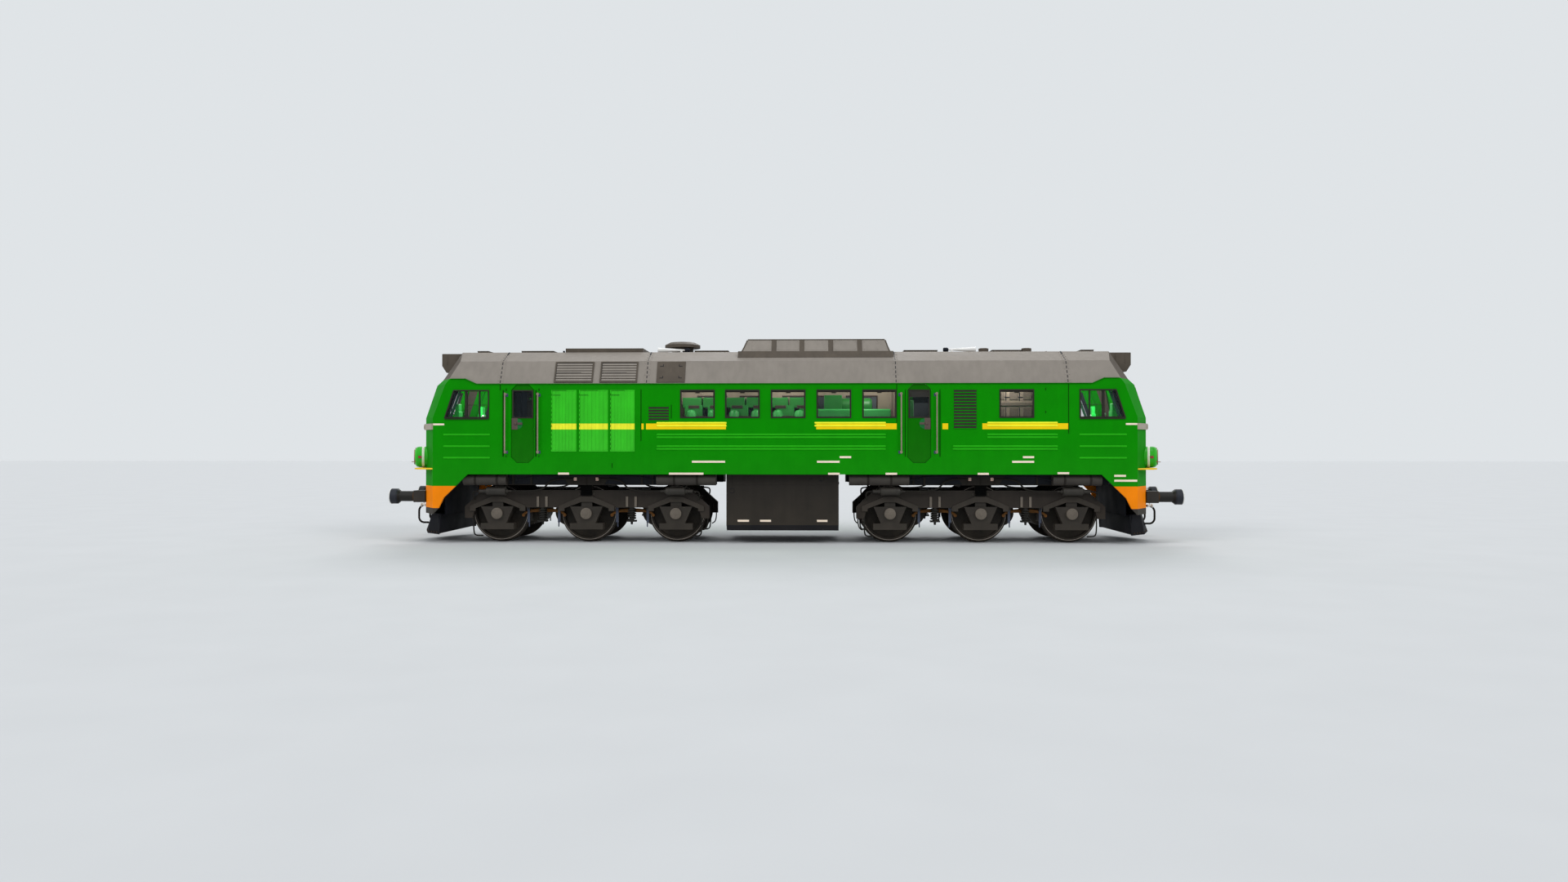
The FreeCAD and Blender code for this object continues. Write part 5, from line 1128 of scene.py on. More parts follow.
piece("buffer_bolts", bm, "black_paint", bolt_rust, both="YX")


def hook_plan(coating):
    """Black forging with the top of the hook in white."""
    top = coating.over(coating.axes(coating.here)["Z"], 1.135)
    return coating.mix(coating.all_of(top, coating.over(coating.reach(coating.here, "X"), 8.05)), "161b26", "f0f0ee")


hook_paint = finish("hook_paint", "161b26", rough=0.5, mottle=0.15, gloss=0.3, plan=hook_plan)
dress(hook_paint, "draw_hooks")
hook_low, hook_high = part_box("draw_hooks")
bm = bmesh.new()
for across in (-0.125, 0.125):
    for up in (hook_low.z + 0.035, hook_high.z - 0.035):
        bolt(bm, (8.008, across, up), "X", 0.013, 0.012)
piece("hook_bolts", bm, "black_paint", bolt_rust, both="X")

# ------------------------------------------------------------------ brake hoses and ploughs
# Ribbed rubber brake hoses with white cast cocks, and snow ploughs of folded plate bolted along
# their cutting edges, with a flat dark sheet behind each that closes it off from the bogie and fills the space behind
# the skirt with painted shade.
hose_rubber = finish("hose_rubber", "221f1b", rough=0.8, mottle=0.25, grain=260, bump=0.5, gloss=0.2)
dress(hose_rubber, "brake_hoses")
HOSE_UP = 0.790
bm = bmesh.new()
for across in (0.35, -0.35):
    turned(bm, [(0, -0.004), (0.034, -0.004), (0.034, 0.012), (0.026, 0.016), (0.026, 0.075), (0.030, 0.080),
                (0.046, 0.092), (0.046, 0.112), (0.030, 0.124), (0, 0.124)], (NOSE_FACE + 0.215, across, HOSE_UP), "X",
           20)
    turned(bm, [(0, -0.002), (0.05, -0.002), (0.05, 0.012), (0.028, 0.016), (0, 0.016)], (NOSE_FACE, across, HOSE_UP),
           "X", 6)
    strut(bm, (8.235, across, 0.81), (8.235, across, 0.846), 0.011, segments=12)
    solid_box(bm, (8.223, across - 0.006, 0.840), (8.247, across + 0.058, 0.850))
piece("hose_cocks", bm, "hose_rubber", white_paint, both="X", edge=0.002)

plough_paint = finish("plough_paint", "0b0e16", rough=0.7, mottle=0.12, streak=0.12, dust=0.03, dust_top=0.9,
                      gloss=0.08)
dress(plough_paint, "ploughs")
bm = bmesh.new()
for side in (1, -1):
    for start, stop, count in (((8.26, 0.05 * side, 0.235), (7.965, 0.86 * side, 0.235), 7),
                               ((7.93, 0.92 * side, 0.235), (7.58, 1.27 * side, 0.235), 4)):
        start, stop = Vector(start), Vector(stop)
        out = (stop - start).cross(Vector((0, 0, -side))).normalized()
        for step in range(count):
            spot = start.lerp(stop, (step + 0.5) / count) - out * 0.004
            stud(bm, spot, 0.012, 0.008, 0.016, out.to_track_quat("Z", "Y").to_matrix(), segments=10)
piece("plough_bolts", bm, "black_paint", bolt_rust, both="X")
# Dark plates behind the ploughs: painted shade that fills the space behind the skirts.
bm = bmesh.new()
solid_box(bm, (7.556, -1.268, 0.205), (7.568, 1.268, 0.632))
plate(bm, [(7.45, y, z) for y, z in oblong(-1.20, 1.20, 0.60, 1.262)], (0.012, 0, 0))
solid_box(bm, (7.45, -1.24, 0.615), (7.568, 1.24, 0.627))
piece("plough_back_shade_sheets", bm, "black_paint", plough_paint, both="X", edge=0.002, steps=1)

# ------------------------------------------------------------------ wheelsets
# Forged wheels pressed on their axles, two on each; the treads run bright, the webs are oiled
# black, and a light joint shows where the tyre meets the rim.
wheel_black = finish("wheel_black", "1d1915", rough=0.6, mottle=0.3, patch=8, grain=120, dust=0.12, dust_top=1.3,
                     gloss=0.2)
tread_steel = finish("tread_steel", "6f665d", rough=0.35, metal=0.6, mottle=0.2, patch=12, grain=160, gloss=0.4)
tyre_line = finish("tyre_line", "a39a90", rough=0.45, metal=0.3, mottle=0.25, patch=30)
AXLE_UP, TREAD_R, WHEEL_FACE = 0.648, 0.620, 0.860
ROWS = (("inner", -1.976), ("middle", 0.0), ("outer", 1.976))
for end, sign in (("front", 1), ("rear", -1)):
    for row, shift in ROWS:
        body = "wheelset_%s_%s" % (end, row)
        dress(wheel_black, body)
        along = sign * (PIVOT + shift)
        bm = bmesh.new()
        turned(bm, [(TREAD_R - 0.006, 0), (TREAD_R - 0.0035, 0.0), (TREAD_R + 0.0008, -0.082),
                    (TREAD_R - 0.004, -0.082)], (along, WHEEL_FACE, AXLE_UP), "Y", 72)
        piece(body + "_treads", bm, "wheel_steel", tread_steel, body=body, both="Y")
        bm = bmesh.new()
        turned(bm, [(0.588, -0.004), (0.588, 0.0015), (0.593, 0.002), (0.598, 0.0015), (0.598, -0.004)],
               (along, WHEEL_FACE, AXLE_UP), "Y", 72)
        piece(body + "_tyre_joints", bm, "wheel_steel", tyre_line, body=body, both="Y")
        bm = bmesh.new()
        for turn in range(6):
            angle = math.radians(turn * 60)
            centre = (along + 0.36 * math.cos(angle), 0.793, AXLE_UP + 0.36 * math.sin(angle))
            band(bm, 0.052, 0.060, 0, 0.006, centre, "Y", 20)
            tilted(bm, (0.19, 0.790, -0.010), (0.27, 0.812, 0.010), angle + math.radians(30), "Y", (along, 0, AXLE_UP))
        turned(bm, [(0.150, -0.03), (0.168, -0.055), (0.168, -0.058), (0.150, -0.058)], (along, WHEEL_FACE, AXLE_UP),
               "Y", 36)
        piece(body + "_webs", bm, "wheel_steel", wheel_black, body=body, both="Y", edge=0.002, steps=1)

# ------------------------------------------------------------------ bogies
# Each bogie is two plate frames with a stiffening rim over every axle opening, tapered axle
# boxes in keeper bars, coil springs between the axles, motors, and brake rigging.


def face_plan(face, behind, proud):
    """One colour behind a level measured outwards, and another on what stands proud of it."""
    return lambda coating: coating.mix(coating.over(coating.reach(coating.here, "Y"), face), behind, proud)


bogie_paint = finish("bogie_paint", "2b2622", rough=0.62, mottle=0.14, streak=0.12, dust=0.10, dust_top=1.1, grain=90,
                     gloss=0.15, plan=face_plan(1.1325, "2b2622", "38332e"))
box_paint = finish("box_paint", "2b2723", rough=0.55, mottle=0.14, dust=0.10, dust_top=1.1, grain=90, gloss=0.2,
                   plan=face_plan(1.177, "2b2723", "5e564c"))
spring_black = finish("spring_black", "17150f", rough=0.5, mottle=0.2, gloss=0.3)
motor_paint = finish("motor_paint", "26241f", rough=0.6, mottle=0.2, dust=0.2, dust_top=1.2)
lever_rust = finish("lever_rust", "6e4a26", rough=0.7, mottle=0.3, patch=10, gloss=0.12)
hanger_blue = finish("hanger_blue", "4a5060", rough=0.5, mottle=0.2, patch=10)
cylinder_grey = finish("cylinder_grey", "33302c", rough=0.5, mottle=0.12, dust=0.1, dust_top=1.4, gloss=0.25)
ledge_light = finish("ledge_light", "6a6259", rough=0.55, mottle=0.15, dust=0.1, dust_top=1.4)
bearer_rubber = finish("bearer_rubber", "040404", rough=0.85, mottle=0.2, gloss=0.05)
pit_black = finish("pit_black", "0d0c0b", rough=0.8, mottle=0.2)


def bogie_piece(end, name, bm, slot, material, *stands_for, **how):
    """Add a piece to a bogie; one of its own is drawn for the front, and turned over for the rear."""
    if end == "rear" and not stands_for:
        flipped(bm, "X")
    piece(name + "_" + end, bm, slot, material, *stands_for, body="bogie_" + end, **how)


def copied(node, leave=None):
    """A node's mesh with its loose triangles joined; leave says which loose lumps to drop."""
    bm = bmesh.new()
    bm.from_mesh(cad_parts[node].data)
    bmesh.ops.remove_doubles(bm, verts=bm.verts[:], dist=1e-5)
    bmesh.ops.dissolve_limit(bm, angle_limit=math.radians(0.5), verts=bm.verts[:], edges=bm.edges[:])
    if leave:
        seen, drop = set(), []
        for start in bm.verts:
            if start in seen:
                continue
            seen.add(start)
            lump, waiting = [], [start]
            while waiting:
                vert = waiting.pop()
                lump.append(vert)
                joined = {edge.other_vert(vert) for edge in vert.link_edges} - seen
                seen |= joined
                waiting += joined
            if leave(lump):
                drop += lump
        bmesh.ops.delete(bm, geom=drop, context="VERTS")
    return bm


SPRINGS = (-0.988, 0.988)
FRAME_FACE, FRAME_BACK, FRAME_TOP = 1.130, 1.000, 1.146
COVER_FACE, SPRING_OUT, LEVER_OUT = 1.214, 1.065, 0.94
CYLINDER_OUT, CYLINDER_UP, CYLINDERS = 1.225, 1.142, ((6.301, 1), (2.349, -1))
COIL_TURNS, COIL_WIRE, COIL_STEPS = 5, 0.0160, 100
for end in ("front", "rear"):
    bm = copied("bogie_frame_" + end)
    bogie_piece(end, "frame_plates", bm, "frame_paint", bogie_paint, "bogie_frame_" + end, edge=0.006)
    bm = bmesh.new()
    for shift in SPRINGS:
        for offset in (-0.095, 0.095):
            solid_box(bm, (PIVOT + shift + offset - 0.026, FRAME_FACE - 0.004, 0.790),
                      (PIVOT + shift + offset + 0.026, FRAME_FACE + 0.016, 1.020))
    bogie_piece(end, "spring_lugs", bm, "frame_paint", ledge_light, both="Y", edge=0.003)
    bm = bmesh.new()
    for along in (1.98, 3.02, 3.52, 5.13, 5.62, 6.62):
        bolt(bm, (along, FRAME_FACE, 1.105), "Y", 0.012)
    for along in (-2.25, -2.1, 2.1, 2.25):
        bolt(bm, (PIVOT + along, FRAME_FACE, 0.98), "Y", 0.012)
    solid_box(bm, (2.0, FRAME_BACK - 0.02, FRAME_TOP - 0.004), (6.65, FRAME_FACE + 0.008, FRAME_TOP + 0.008))
    for row, shift in ROWS:
        for offset in (-0.16, 0.16):
            solid_box(bm, (PIVOT + shift + offset - 0.02, FRAME_FACE - 0.002, 1.045),
                      (PIVOT + shift + offset + 0.02, FRAME_FACE + 0.010, 1.105))
    bogie_piece(end, "frame_bolts", bm, "frame_paint", bogie_paint, both="Y", edge=0.002, steps=1)

    bm = bmesh.new()
    solid_box(bm, (PIVOT - 0.118, FRAME_FACE - 0.01, 1.045), (PIVOT + 0.118, FRAME_FACE + 0.055, 1.262))
    for up in (1.10, 1.155, 1.21):
        solid_box(bm, (PIVOT - 0.124, FRAME_FACE - 0.01, up - 0.004), (PIVOT + 0.124, FRAME_FACE + 0.060, up + 0.004))
    bogie_piece(end, "side_bearers", bm, "frame_paint", bearer_rubber, both="Y", edge=0.004)

    bm = copied("axle_boxes_" + end, lambda lump: max(v.co.z for v in lump) < 0.80)
    bogie_piece(end, "box_castings", bm, "frame_paint", box_paint, "axle_boxes_" + end, edge=0.005)
    bm = bmesh.new()
    for row, shift in ROWS:
        along = PIVOT + shift
        for over, up in around(8, 0.095, 22.5):
            bolt(bm, (along + over, COVER_FACE, AXLE_UP + up), "Y", 0.009, 0.010)
        turned(bm, [(0, -0.006), (0.120, -0.006), (0.120, 0.001), (0.115, 0.003), (0, 0.003)],
               (along, COVER_FACE, AXLE_UP), "Y", 40)
        turned(bm, [(0, -0.002), (0.045, -0.002), (0.045, 0.004), (0.036, 0.010), (0, 0.010)],
               (along, COVER_FACE, AXLE_UP), "Y", 28)
        for offset in (-0.32, -0.22, 0.22, 0.32):
            bolt(bm, (along + offset, 1.140, 0.36), "Y", 0.011)
    bogie_piece(end, "cover_bolts", bm, "frame_paint", ledge_light, both="Y")
    bm = bmesh.new()
    for row, shift in ROWS:
        solid_box(bm, (PIVOT + shift - 0.105, 1.09, 0.436), (PIVOT + shift + 0.105, 1.1455, 0.530))
    bogie_piece(end, "keeper_gaps", bm, "frame_paint", pit_black, both="Y", edge=0.002, steps=1)

    bm = bmesh.new()
    for shift in SPRINGS:
        along = PIVOT + shift
        solid_box(bm, (along - 0.105, SPRING_OUT - 0.070, 0.462), (along + 0.105, SPRING_OUT + 0.070, 0.498))
        band(bm, 0, 0.055, 0, 0.275, (along, SPRING_OUT, 0.498), "Z", 20)
        ring = bmesh.ops.create_circle(bm, cap_ends=False, segments=10, radius=COIL_WIRE)["verts"]
        bmesh.ops.rotate(bm, verts=ring, matrix=Matrix.Rotation(math.pi / 2, 3, "X"))
        bmesh.ops.translate(bm, verts=ring, vec=(along + 0.082, SPRING_OUT, 0.516))
        loop = list({edge for vert in ring for edge in vert.link_edges})
        bmesh.ops.spin(bm, geom=ring + loop, cent=(along, SPRING_OUT, 0), axis=(0, 0, 1),
                       dvec=(0, 0, 0.250 / COIL_STEPS), angle=2 * math.pi * COIL_TURNS, steps=COIL_STEPS)
        strut(bm, (along, SPRING_OUT, 0.462), (along, SPRING_OUT, 0.40), 0.030, 0.022, segments=16)
    bmesh.ops.recalc_face_normals(bm, faces=bm.faces[:])
    bogie_piece(end, "coil_springs", bm, "frame_paint", spring_black, both="Y")

    bm = copied("traction_motors_" + end)
    bogie_piece(end, "motor_casings", bm, "frame_paint", motor_paint, "traction_motors_" + end, edge=0.008)
    bm = bmesh.new()
    for along in (2.729, 4.705, 5.921):
        for across in (-0.42, 0.0, 0.42):
            band(bm, 0.299, 0.308, -0.03, 0.03, (along, across, AXLE_UP), "Y", 40)
        for across in (-0.22, 0.22):
            solid_box(bm, (along - 0.11, across - 0.13, AXLE_UP - 0.312), (along + 0.11, across + 0.13, AXLE_UP - 0.27))
            solid_box(bm, (along - 0.11, across - 0.13, AXLE_UP + 0.27), (along + 0.11, across + 0.13, AXLE_UP + 0.312))
    bogie_piece(end, "motor_bands", bm, "frame_paint", motor_paint, edge=0.003, steps=1)

    bm = copied("brake_gear_" + end)
    bogie_piece(end, "brake_shoes", bm, "frame_paint", cylinder_grey, "brake_gear_" + end, edge=0.004)
    bm = bmesh.new()
    for along, toward in CYLINDERS:
        if toward < 0:
            turned(bm, [(0, -0.21), (0.080, -0.21), (0.095, -0.195), (0.095, 0.165), (0.080, 0.21), (0, 0.21)],
                   (along, CYLINDER_OUT, CYLINDER_UP), "X", 32)
        for offset in (-0.17, 0.14):
            band(bm, 0.09, 0.098, -0.014, 0.014, (along + offset, CYLINDER_OUT, CYLINDER_UP), "X", 32)
        turned(bm, [(0, 0.205), (0.055, 0.205), (0.055, 0.255), (0.042, 0.262), (0.042, 0.38), (0, 0.38)],
               (along, CYLINDER_OUT, CYLINDER_UP), "X" if toward > 0 else "-X", 24)
        turned(bm, [(0, 0.205), (0.05, 0.205), (0.05, 0.23), (0.02, 0.26), (0.02, 0.33), (0, 0.33)],
               (along, CYLINDER_OUT, CYLINDER_UP), "-X" if toward > 0 else "X", 20)
        solid_box(bm, (along - 0.14, FRAME_FACE - 0.002, 1.05), (along + 0.14, FRAME_FACE + 0.02, 1.145))
    bogie_piece(end, "brake_cylinders", bm, "frame_paint", cylinder_grey, both="Y", edge=0.002, steps=1)
    bm = bmesh.new()
    for along, toward in CYLINDERS:
        tip = along + toward * 0.37
        pipe(bm, [(tip - toward * 0.02, CYLINDER_OUT, CYLINDER_UP), (tip + toward * 0.06, CYLINDER_OUT, CYLINDER_UP),
                  (tip + toward * 0.15, CYLINDER_OUT, CYLINDER_UP - 0.02),
                  (tip + toward * 0.16, CYLINDER_OUT - 0.02, 1.03), (tip + toward * 0.14, 1.16, 0.95)], 0.018)
    bogie_piece(end, "cylinder_hoses", bm, "hose_rubber", hose_rubber, both="Y")

    bm = bmesh.new()
    for shift in SPRINGS:
        for offset, lean in ((-0.34, 0.012), (0.34, -0.012)):
            along = PIVOT + shift + offset
            strut(bm, (along, 0.965, 0.79), (along + lean, 0.955, 0.34), 0.018, 0.014, segments=12)
            solid_box(bm, (along - 0.028, 0.945, 0.44), (along + 0.028, 0.985, 0.79))
    bogie_piece(end, "brake_hangers", bm, "frame_paint", hanger_blue, both="Y", edge=0.003)
    bm = bmesh.new()
    for shift in SPRINGS:
        for toward in (-1, 1):
            along = PIVOT + shift
            pipe(bm, [(along + toward * out, LEVER_OUT, up) for out, up in
                      ((0.05, 0.72), (0.22, 0.72), (0.34, 0.665), (0.42, 0.66), (0.46, 0.60))], 0.030)
            band(bm, 0, 0.036, -0.03, 0.03, (along + toward * 0.46, LEVER_OUT, 0.60), "Y", 20)
        solid_box(bm, (along - 0.30, 0.922, 0.662), (along + 0.30, 0.952, 0.728))
    bogie_piece(end, "brake_levers", bm, "frame_paint", lever_rust, both="Y", edge=0.003)
    bm = bmesh.new()
    pipe(bm, [(6.855, 1.06, 0.80), (6.860, 1.06, 0.55), (6.862, 1.05, 0.30), (6.850, 1.03, 0.17), (6.78, 1.02, 0.145),
              (6.66, 1.01, 0.145)], 0.016)
    pipe(bm, [(1.80, 1.06, 0.80), (1.79, 1.06, 0.55), (1.79, 1.05, 0.30), (1.81, 1.03, 0.17), (1.87, 1.02, 0.145),
              (1.99, 1.01, 0.145)], 0.016)
    pipe(bm, [(1.655, 1.06, 0.80), (1.65, 1.06, 0.60), (1.655, 1.06, 0.40), (1.70, 1.06, 0.30), (1.76, 1.05, 0.285)],
         0.014)
    bogie_piece(end, "sand_pipes", bm, "frame_paint", spring_black, both="Y")

# ------------------------------------------------------------------ brake hoses to the bogies
# Black rubber hoses with cast end rings in a pinkish primer run from the bearer brackets to the
# brake cylinders.
ring_pink = finish("ring_pink", "d9b7a6", rough=0.5, mottle=0.1)
for end, sign in (("front", 1), ("rear", -1)):
    for name, toward in (("outer", 1), ("inner", -1)):
        route = [(PIVOT + toward * along, out, up) for along, out, up in
                 ((0.255, 1.180, 1.405), (0.36, 1.190, 1.410), (0.62, 1.215, 1.405), (0.80, 1.235, 1.36),
                  (0.92, 1.230, 1.20), (1.12, 1.225, 1.142), (1.40, 1.225, 1.138), (1.66, 1.225, 1.142))]
        for side in (1, -1):
            bm = bmesh.new()
            pipe(bm, route, 0.019)
            if sign < 0:
                flipped(bm, "X")
            if side < 0:
                flipped(bm, "Y")
            hose = piece("body_hose_%s_%s_%s" % (end, name, "left" if side > 0 else "right"), bm, "hose_rubber",
                         hose_rubber, body=None)
            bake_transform(hose)
bm = bmesh.new()
for toward in (1, -1):
    turned(bm, [(0, -0.006), (0.026, -0.006), (0.026, 0.010), (0.020, 0.014), (0, 0.014)],
           (PIVOT + toward * 0.262, 1.182, 1.405), "X" if toward > 0 else "-X", 20)
    solid_box(bm, (PIVOT + toward * 0.24 - 0.03, BRACKET_FACE, 1.37), (PIVOT + toward * 0.24 + 0.03, 1.196, 1.44))
piece("hose_rings", bm, "hose_rubber", ring_pink, both="YX", edge=0.002, steps=1)

# ------------------------------------------------------------------ engine room
# The diesel engine under green covers with its cylinder heads in two rows, the generator and
# blower, and the lined wall with its cable ducts behind them.
machine_paint = finish("machine_paint", "257c30", rough=0.4, mottle=0.12, streak=0.1, gloss=0.3)
cover_paint = finish("cover_paint", "207028", rough=0.42, mottle=0.10, streak=0.1, gloss=0.3)
ledge_paint = finish("ledge_paint", "38a04c", rough=0.4, mottle=0.08, gloss=0.3)
lining_beige = finish("lining_beige", "8a7d6e", rough=0.7, mottle=0.08, grain=50, gloss=0.15)
lining_dark = finish("lining_dark", "484b50", rough=0.6, mottle=0.12, gloss=0.15)
block_brown = finish("block_brown", "3a2c28", rough=0.6, mottle=0.15)
dress(machine_paint, "diesel_engine", "main_generator")
dress(lining_beige, "bulkheads")
bm = bmesh.new()
for count in range(3):
    start = -2.30 + count * 0.985
    for low, high in ((start, start + 0.435), (start + 0.465, start + 0.955)):
        solid_box(bm, (low, -0.36, 3.00), (high, 0.36, 3.235))
piece("manifold_covers", bm, "machine_green", cover_paint, edge=0.012)
bm = bmesh.new()
for count in range(6):
    along = -2.18 + count * 0.492
    for side in (1, -1):
        solid_box(bm, (along + 0.02, side * 0.40 - 0.03, 2.985), (along + 0.27, side * 0.40 + 0.03, 3.055))
        solid_box(bm, (along - 0.10, side * 0.43 - 0.012, 2.795), (along + 0.39, side * 0.43 + 0.012, 2.815))
piece("injector_blocks", bm, "machine_green", block_brown, edge=0.006)
bm = bmesh.new()
for count in range(6):
    along = -2.10 + count * 0.492
    for side in (1, -1):
        turned(bm, [(0.115, -0.14), (0.115, 0.04), (0.09, 0.085), (0.05, 0.105), (0, 0.11)],
               (along, side * 0.40, 2.84), "Z", 24)
        for over, across in around(6, 0.085, 30):
            bolt(bm, (along + over, side * 0.40 + across, 2.915), "Z", 0.012, 0.02)
piece("cylinder_domes", bm, "machine_green", ledge_paint)
bm = bmesh.new()
solid_box(bm, (0.92, -0.55, 2.70), (1.32, 0.55, 3.28))
for across in (-0.30, 0.30):
    turned(bm, [(0, 0), (0.19, 0), (0.19, 0.64), (0.16, 0.68), (0, 0.68)], (1.32, across, 3.03), "X", 36)
piece("blower_casing", bm, "machine_green", cover_paint, edge=0.01)
blocks("blower_ledge", [((0.66, -0.62, 2.56), (2.42, 0.62, 2.965))],
       "machine_green", ledge_paint, edge=0.04, steps=3)
bm = bmesh.new()
solid_box(bm, (-3.04, -0.03, 2.50), (2.55, 0.03, 4.12))
solid_box(bm, (-3.04, -0.20, 3.98), (2.55, 0.20, 4.06))
for along in (-2.9, -1.86, -0.88, 0.10, 1.10, 2.45):
    solid_box(bm, (along - 0.03, -0.05, 2.6), (along + 0.03, 0.05, 3.98))
DUCTS = ((-2.0, -1.34), (-1.02, -0.40), (-0.04, 0.60), (0.62, 1.28), (1.42, 2.12))
piece("duct_wall", bm, "interior_paint", lining_beige, edge=0.004)
bm = bmesh.new()
for start, stop in DUCTS:
    solid_box(bm, (start, -0.036, 2.64), (stop, 0.036, 3.262))
piece("duct_covers", bm, "interior_paint", lining_dark, edge=0.004)
bm = bmesh.new()
for start, stop in DUCTS:
    for side in (-1, 1):
        solid_box(bm, (start, side * 0.045 - 0.01, 3.262), (stop + 0.03, side * 0.045 + 0.01, 3.295))
        solid_box(bm, (stop, side * 0.045 - 0.01, 2.64), (stop + 0.03, side * 0.045 + 0.01, 3.27))
piece("duct_edges", bm, "interior_paint", block_brown, edge=0.003)

# ------------------------------------------------------------------ cooling room and doorways
# Behind the rear doors stand the radiator shaft and its switch posts in blue-grey; behind the
# front doors the motor blower and a dark board.
FLOOR_TOP = 1.605
room_blue = finish("room_blue", "3f4658", rough=0.6, mottle=0.1, gloss=0.15)
dark_board = finish("dark_board", "37332d", rough=0.65, mottle=0.12)
bm = bmesh.new()
solid_box(bm, (-6.20, -0.35, FLOOR_TOP), (-3.12, 0.35, 4.05))
for along in (-6.0, -5.55, -4.6, -3.7):
    solid_box(bm, (along - 0.02, -0.37, FLOOR_TOP), (along + 0.02, 0.37, 4.05))
piece("radiator_shaft", bm, "interior_paint", room_blue, edge=0.01)
bm = bmesh.new()
for side in (-1, 1):
    solid_box(bm, (-5.83, side * 0.45 - 0.05, FLOOR_TOP), (-5.70, side * 0.45 + 0.05, 4.0))
    solid_box(bm, (-5.80, side * 0.46 - 0.06, 3.19), (-5.66, side * 0.46 + 0.06, 3.24))
piece("switch_posts", bm, "interior_paint", dark_board, edge=0.006)
bm = bmesh.new()
for side in (-1, 1):
    for low, high in ((2.76, 2.86), (2.94, 3.05), (3.20, 3.22)):
        solid_box(bm, (-5.60, side * 0.40 - 0.015, low), (-5.58, side * 0.40 + 0.015, high))
piece("switch_labels", bm, "interior_paint", lining_beige, edge=0.002, steps=1)
blocks("blower_board", [((2.62, -0.04, FLOOR_TOP), (4.06, 0.04, 4.05)),
                        ((2.62, -0.30, 3.24), (4.06, 0.30, 4.0))],
       "interior_paint", dark_board, edge=0.006)
bm = bmesh.new()
solid_box(bm, (2.63, -0.55, FLOOR_TOP), (2.93, 0.55, 3.17))
band(bm, 0, 0.25, -0.5, 0.5, (2.90, 0, 2.45), "Y", 36)
piece("motor_blower", bm, "machine_green", cover_paint, edge=0.02)
blocks("blower_duct", [((2.94, -0.10, FLOOR_TOP), (3.40, 0.10, 3.12))], "interior_paint", lining_dark, edge=0.01)

# ------------------------------------------------------------------ electrical cabinet
# A sheet-steel cabinet with pressed doors in five columns, dark gaps between them, a folded rail
# across and turn locks.
dress(lining_beige, "electrical_cabinet")
panel_brown = finish("panel_brown", "6b6156", rough=0.65, mottle=0.08, gloss=0.15)
cabinet_low, cabinet_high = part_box("electrical_cabinet")
bm = bmesh.new()
for column in range(5):
    start = cabinet_low.x + 0.06 + column * 0.30
    for low, high in ((1.75, 2.38), (2.44, 2.99), (3.16, 3.38)):
        for side in (1, -1):
            face = side * cabinet_high.y
            solid_box(bm, (start, face, low), (start + 0.19, face + side * 0.012, high))
piece("cabinet_doors", bm, "interior_paint", panel_brown, edge=0.006)
bm = bmesh.new()
for column in range(5):
    start = cabinet_low.x + 0.27 + column * 0.30
    for side in (1, -1):
        face = side * cabinet_high.y
        for low, high in ((1.75, 2.99), (3.14, 3.40)):
            solid_box(bm, (start, face, low), (start + 0.016, face + side * 0.008, high))
        solid_box(bm, (start - 0.03, face, 3.21), (start + 0.10, face + side * 0.008, 3.225))
piece("cabinet_gaps", bm, "interior_paint", joint_navy)
bm = bmesh.new()
for side in (1, -1):
    face = side * cabinet_high.y
    solid_box(bm, (cabinet_low.x, face, 3.03), (cabinet_high.x, face + side * 0.02, 3.10))
    for column in range(5):
        turned(bm, [(0, 0), (0.016, 0), (0.016, 0.012), (0, 0.014)],
               (cabinet_low.x + 0.21 + column * 0.30, side * (cabinet_high.y + 0.010), 2.72), "Y", 12)
piece("cabinet_rail", bm, "interior_paint", panel_brown, edge=0.004)

# ------------------------------------------------------------------ cabs
# Both cabs are lined in green sheet on brown posts; a steel desk with two dial hoods and a
# controller on each side runs under the windscreens.
desk_green = finish("desk_green", "2a8c3c", rough=0.45, mottle=0.08, gloss=0.25)
desk_mint = finish("desk_mint", "4fd987", rough=0.4, mottle=0.06, gloss=0.25)
post_brown = finish("post_brown", "463a32", rough=0.6, mottle=0.12)
dial_face = finish("dial_face", "cfd6d2", rough=0.3, mottle=0.05, gloss=0.5)
dress(desk_green, "control_desks")
DESK_TOP = 2.600
blocks("desk_tops", [((7.16, -1.15, DESK_TOP - 0.004), (7.47, 1.15, DESK_TOP + 0.012))],
       "interior_paint", desk_mint, both="X", edge=0.005)
bm = bmesh.new()
for across in (-0.62, 0.62):
    hood = solid_box(bm, (7.18, across - 0.28, DESK_TOP), (7.40, across + 0.28, DESK_TOP + 0.17))
    bmesh.ops.rotate(bm, verts=hood, cent=(7.29, across, DESK_TOP), matrix=Matrix.Rotation(math.radians(-8), 3, "Y"))
    solid_box(bm, (7.00, across - 0.42, 2.50), (7.14, across - 0.28, 2.76))
piece("desk_hoods", bm, "interior_paint", desk_green, both="X", edge=0.02, steps=3)
bm = bmesh.new()
for across in (-0.62, 0.62):
    for offset in (-0.18, -0.06, 0.06, 0.18):
        turned(bm, [(0, 0), (0.045, 0), (0.045, 0.008), (0.038, 0.012), (0.036, 0.006), (0, 0.006)],
               (7.175, across + offset, DESK_TOP + 0.10), "-X", 24)
    turned(bm, [(0, 0), (0.012, 0), (0.012, 0.05), (0.030, 0.065), (0.034, 0.085), (0.020, 0.105), (0, 0.110)],
           (7.07, across - 0.35, 2.755), "Z", 20)
piece("desk_dials", bm, "interior_paint", dial_face, both="X")
bm = bmesh.new()
solid_box(bm, (6.269, -1.38, 1.62), (6.282, 1.38, 3.48))
solid_box(bm, (6.269, -1.12, 3.48), (6.282, 1.12, 3.92))
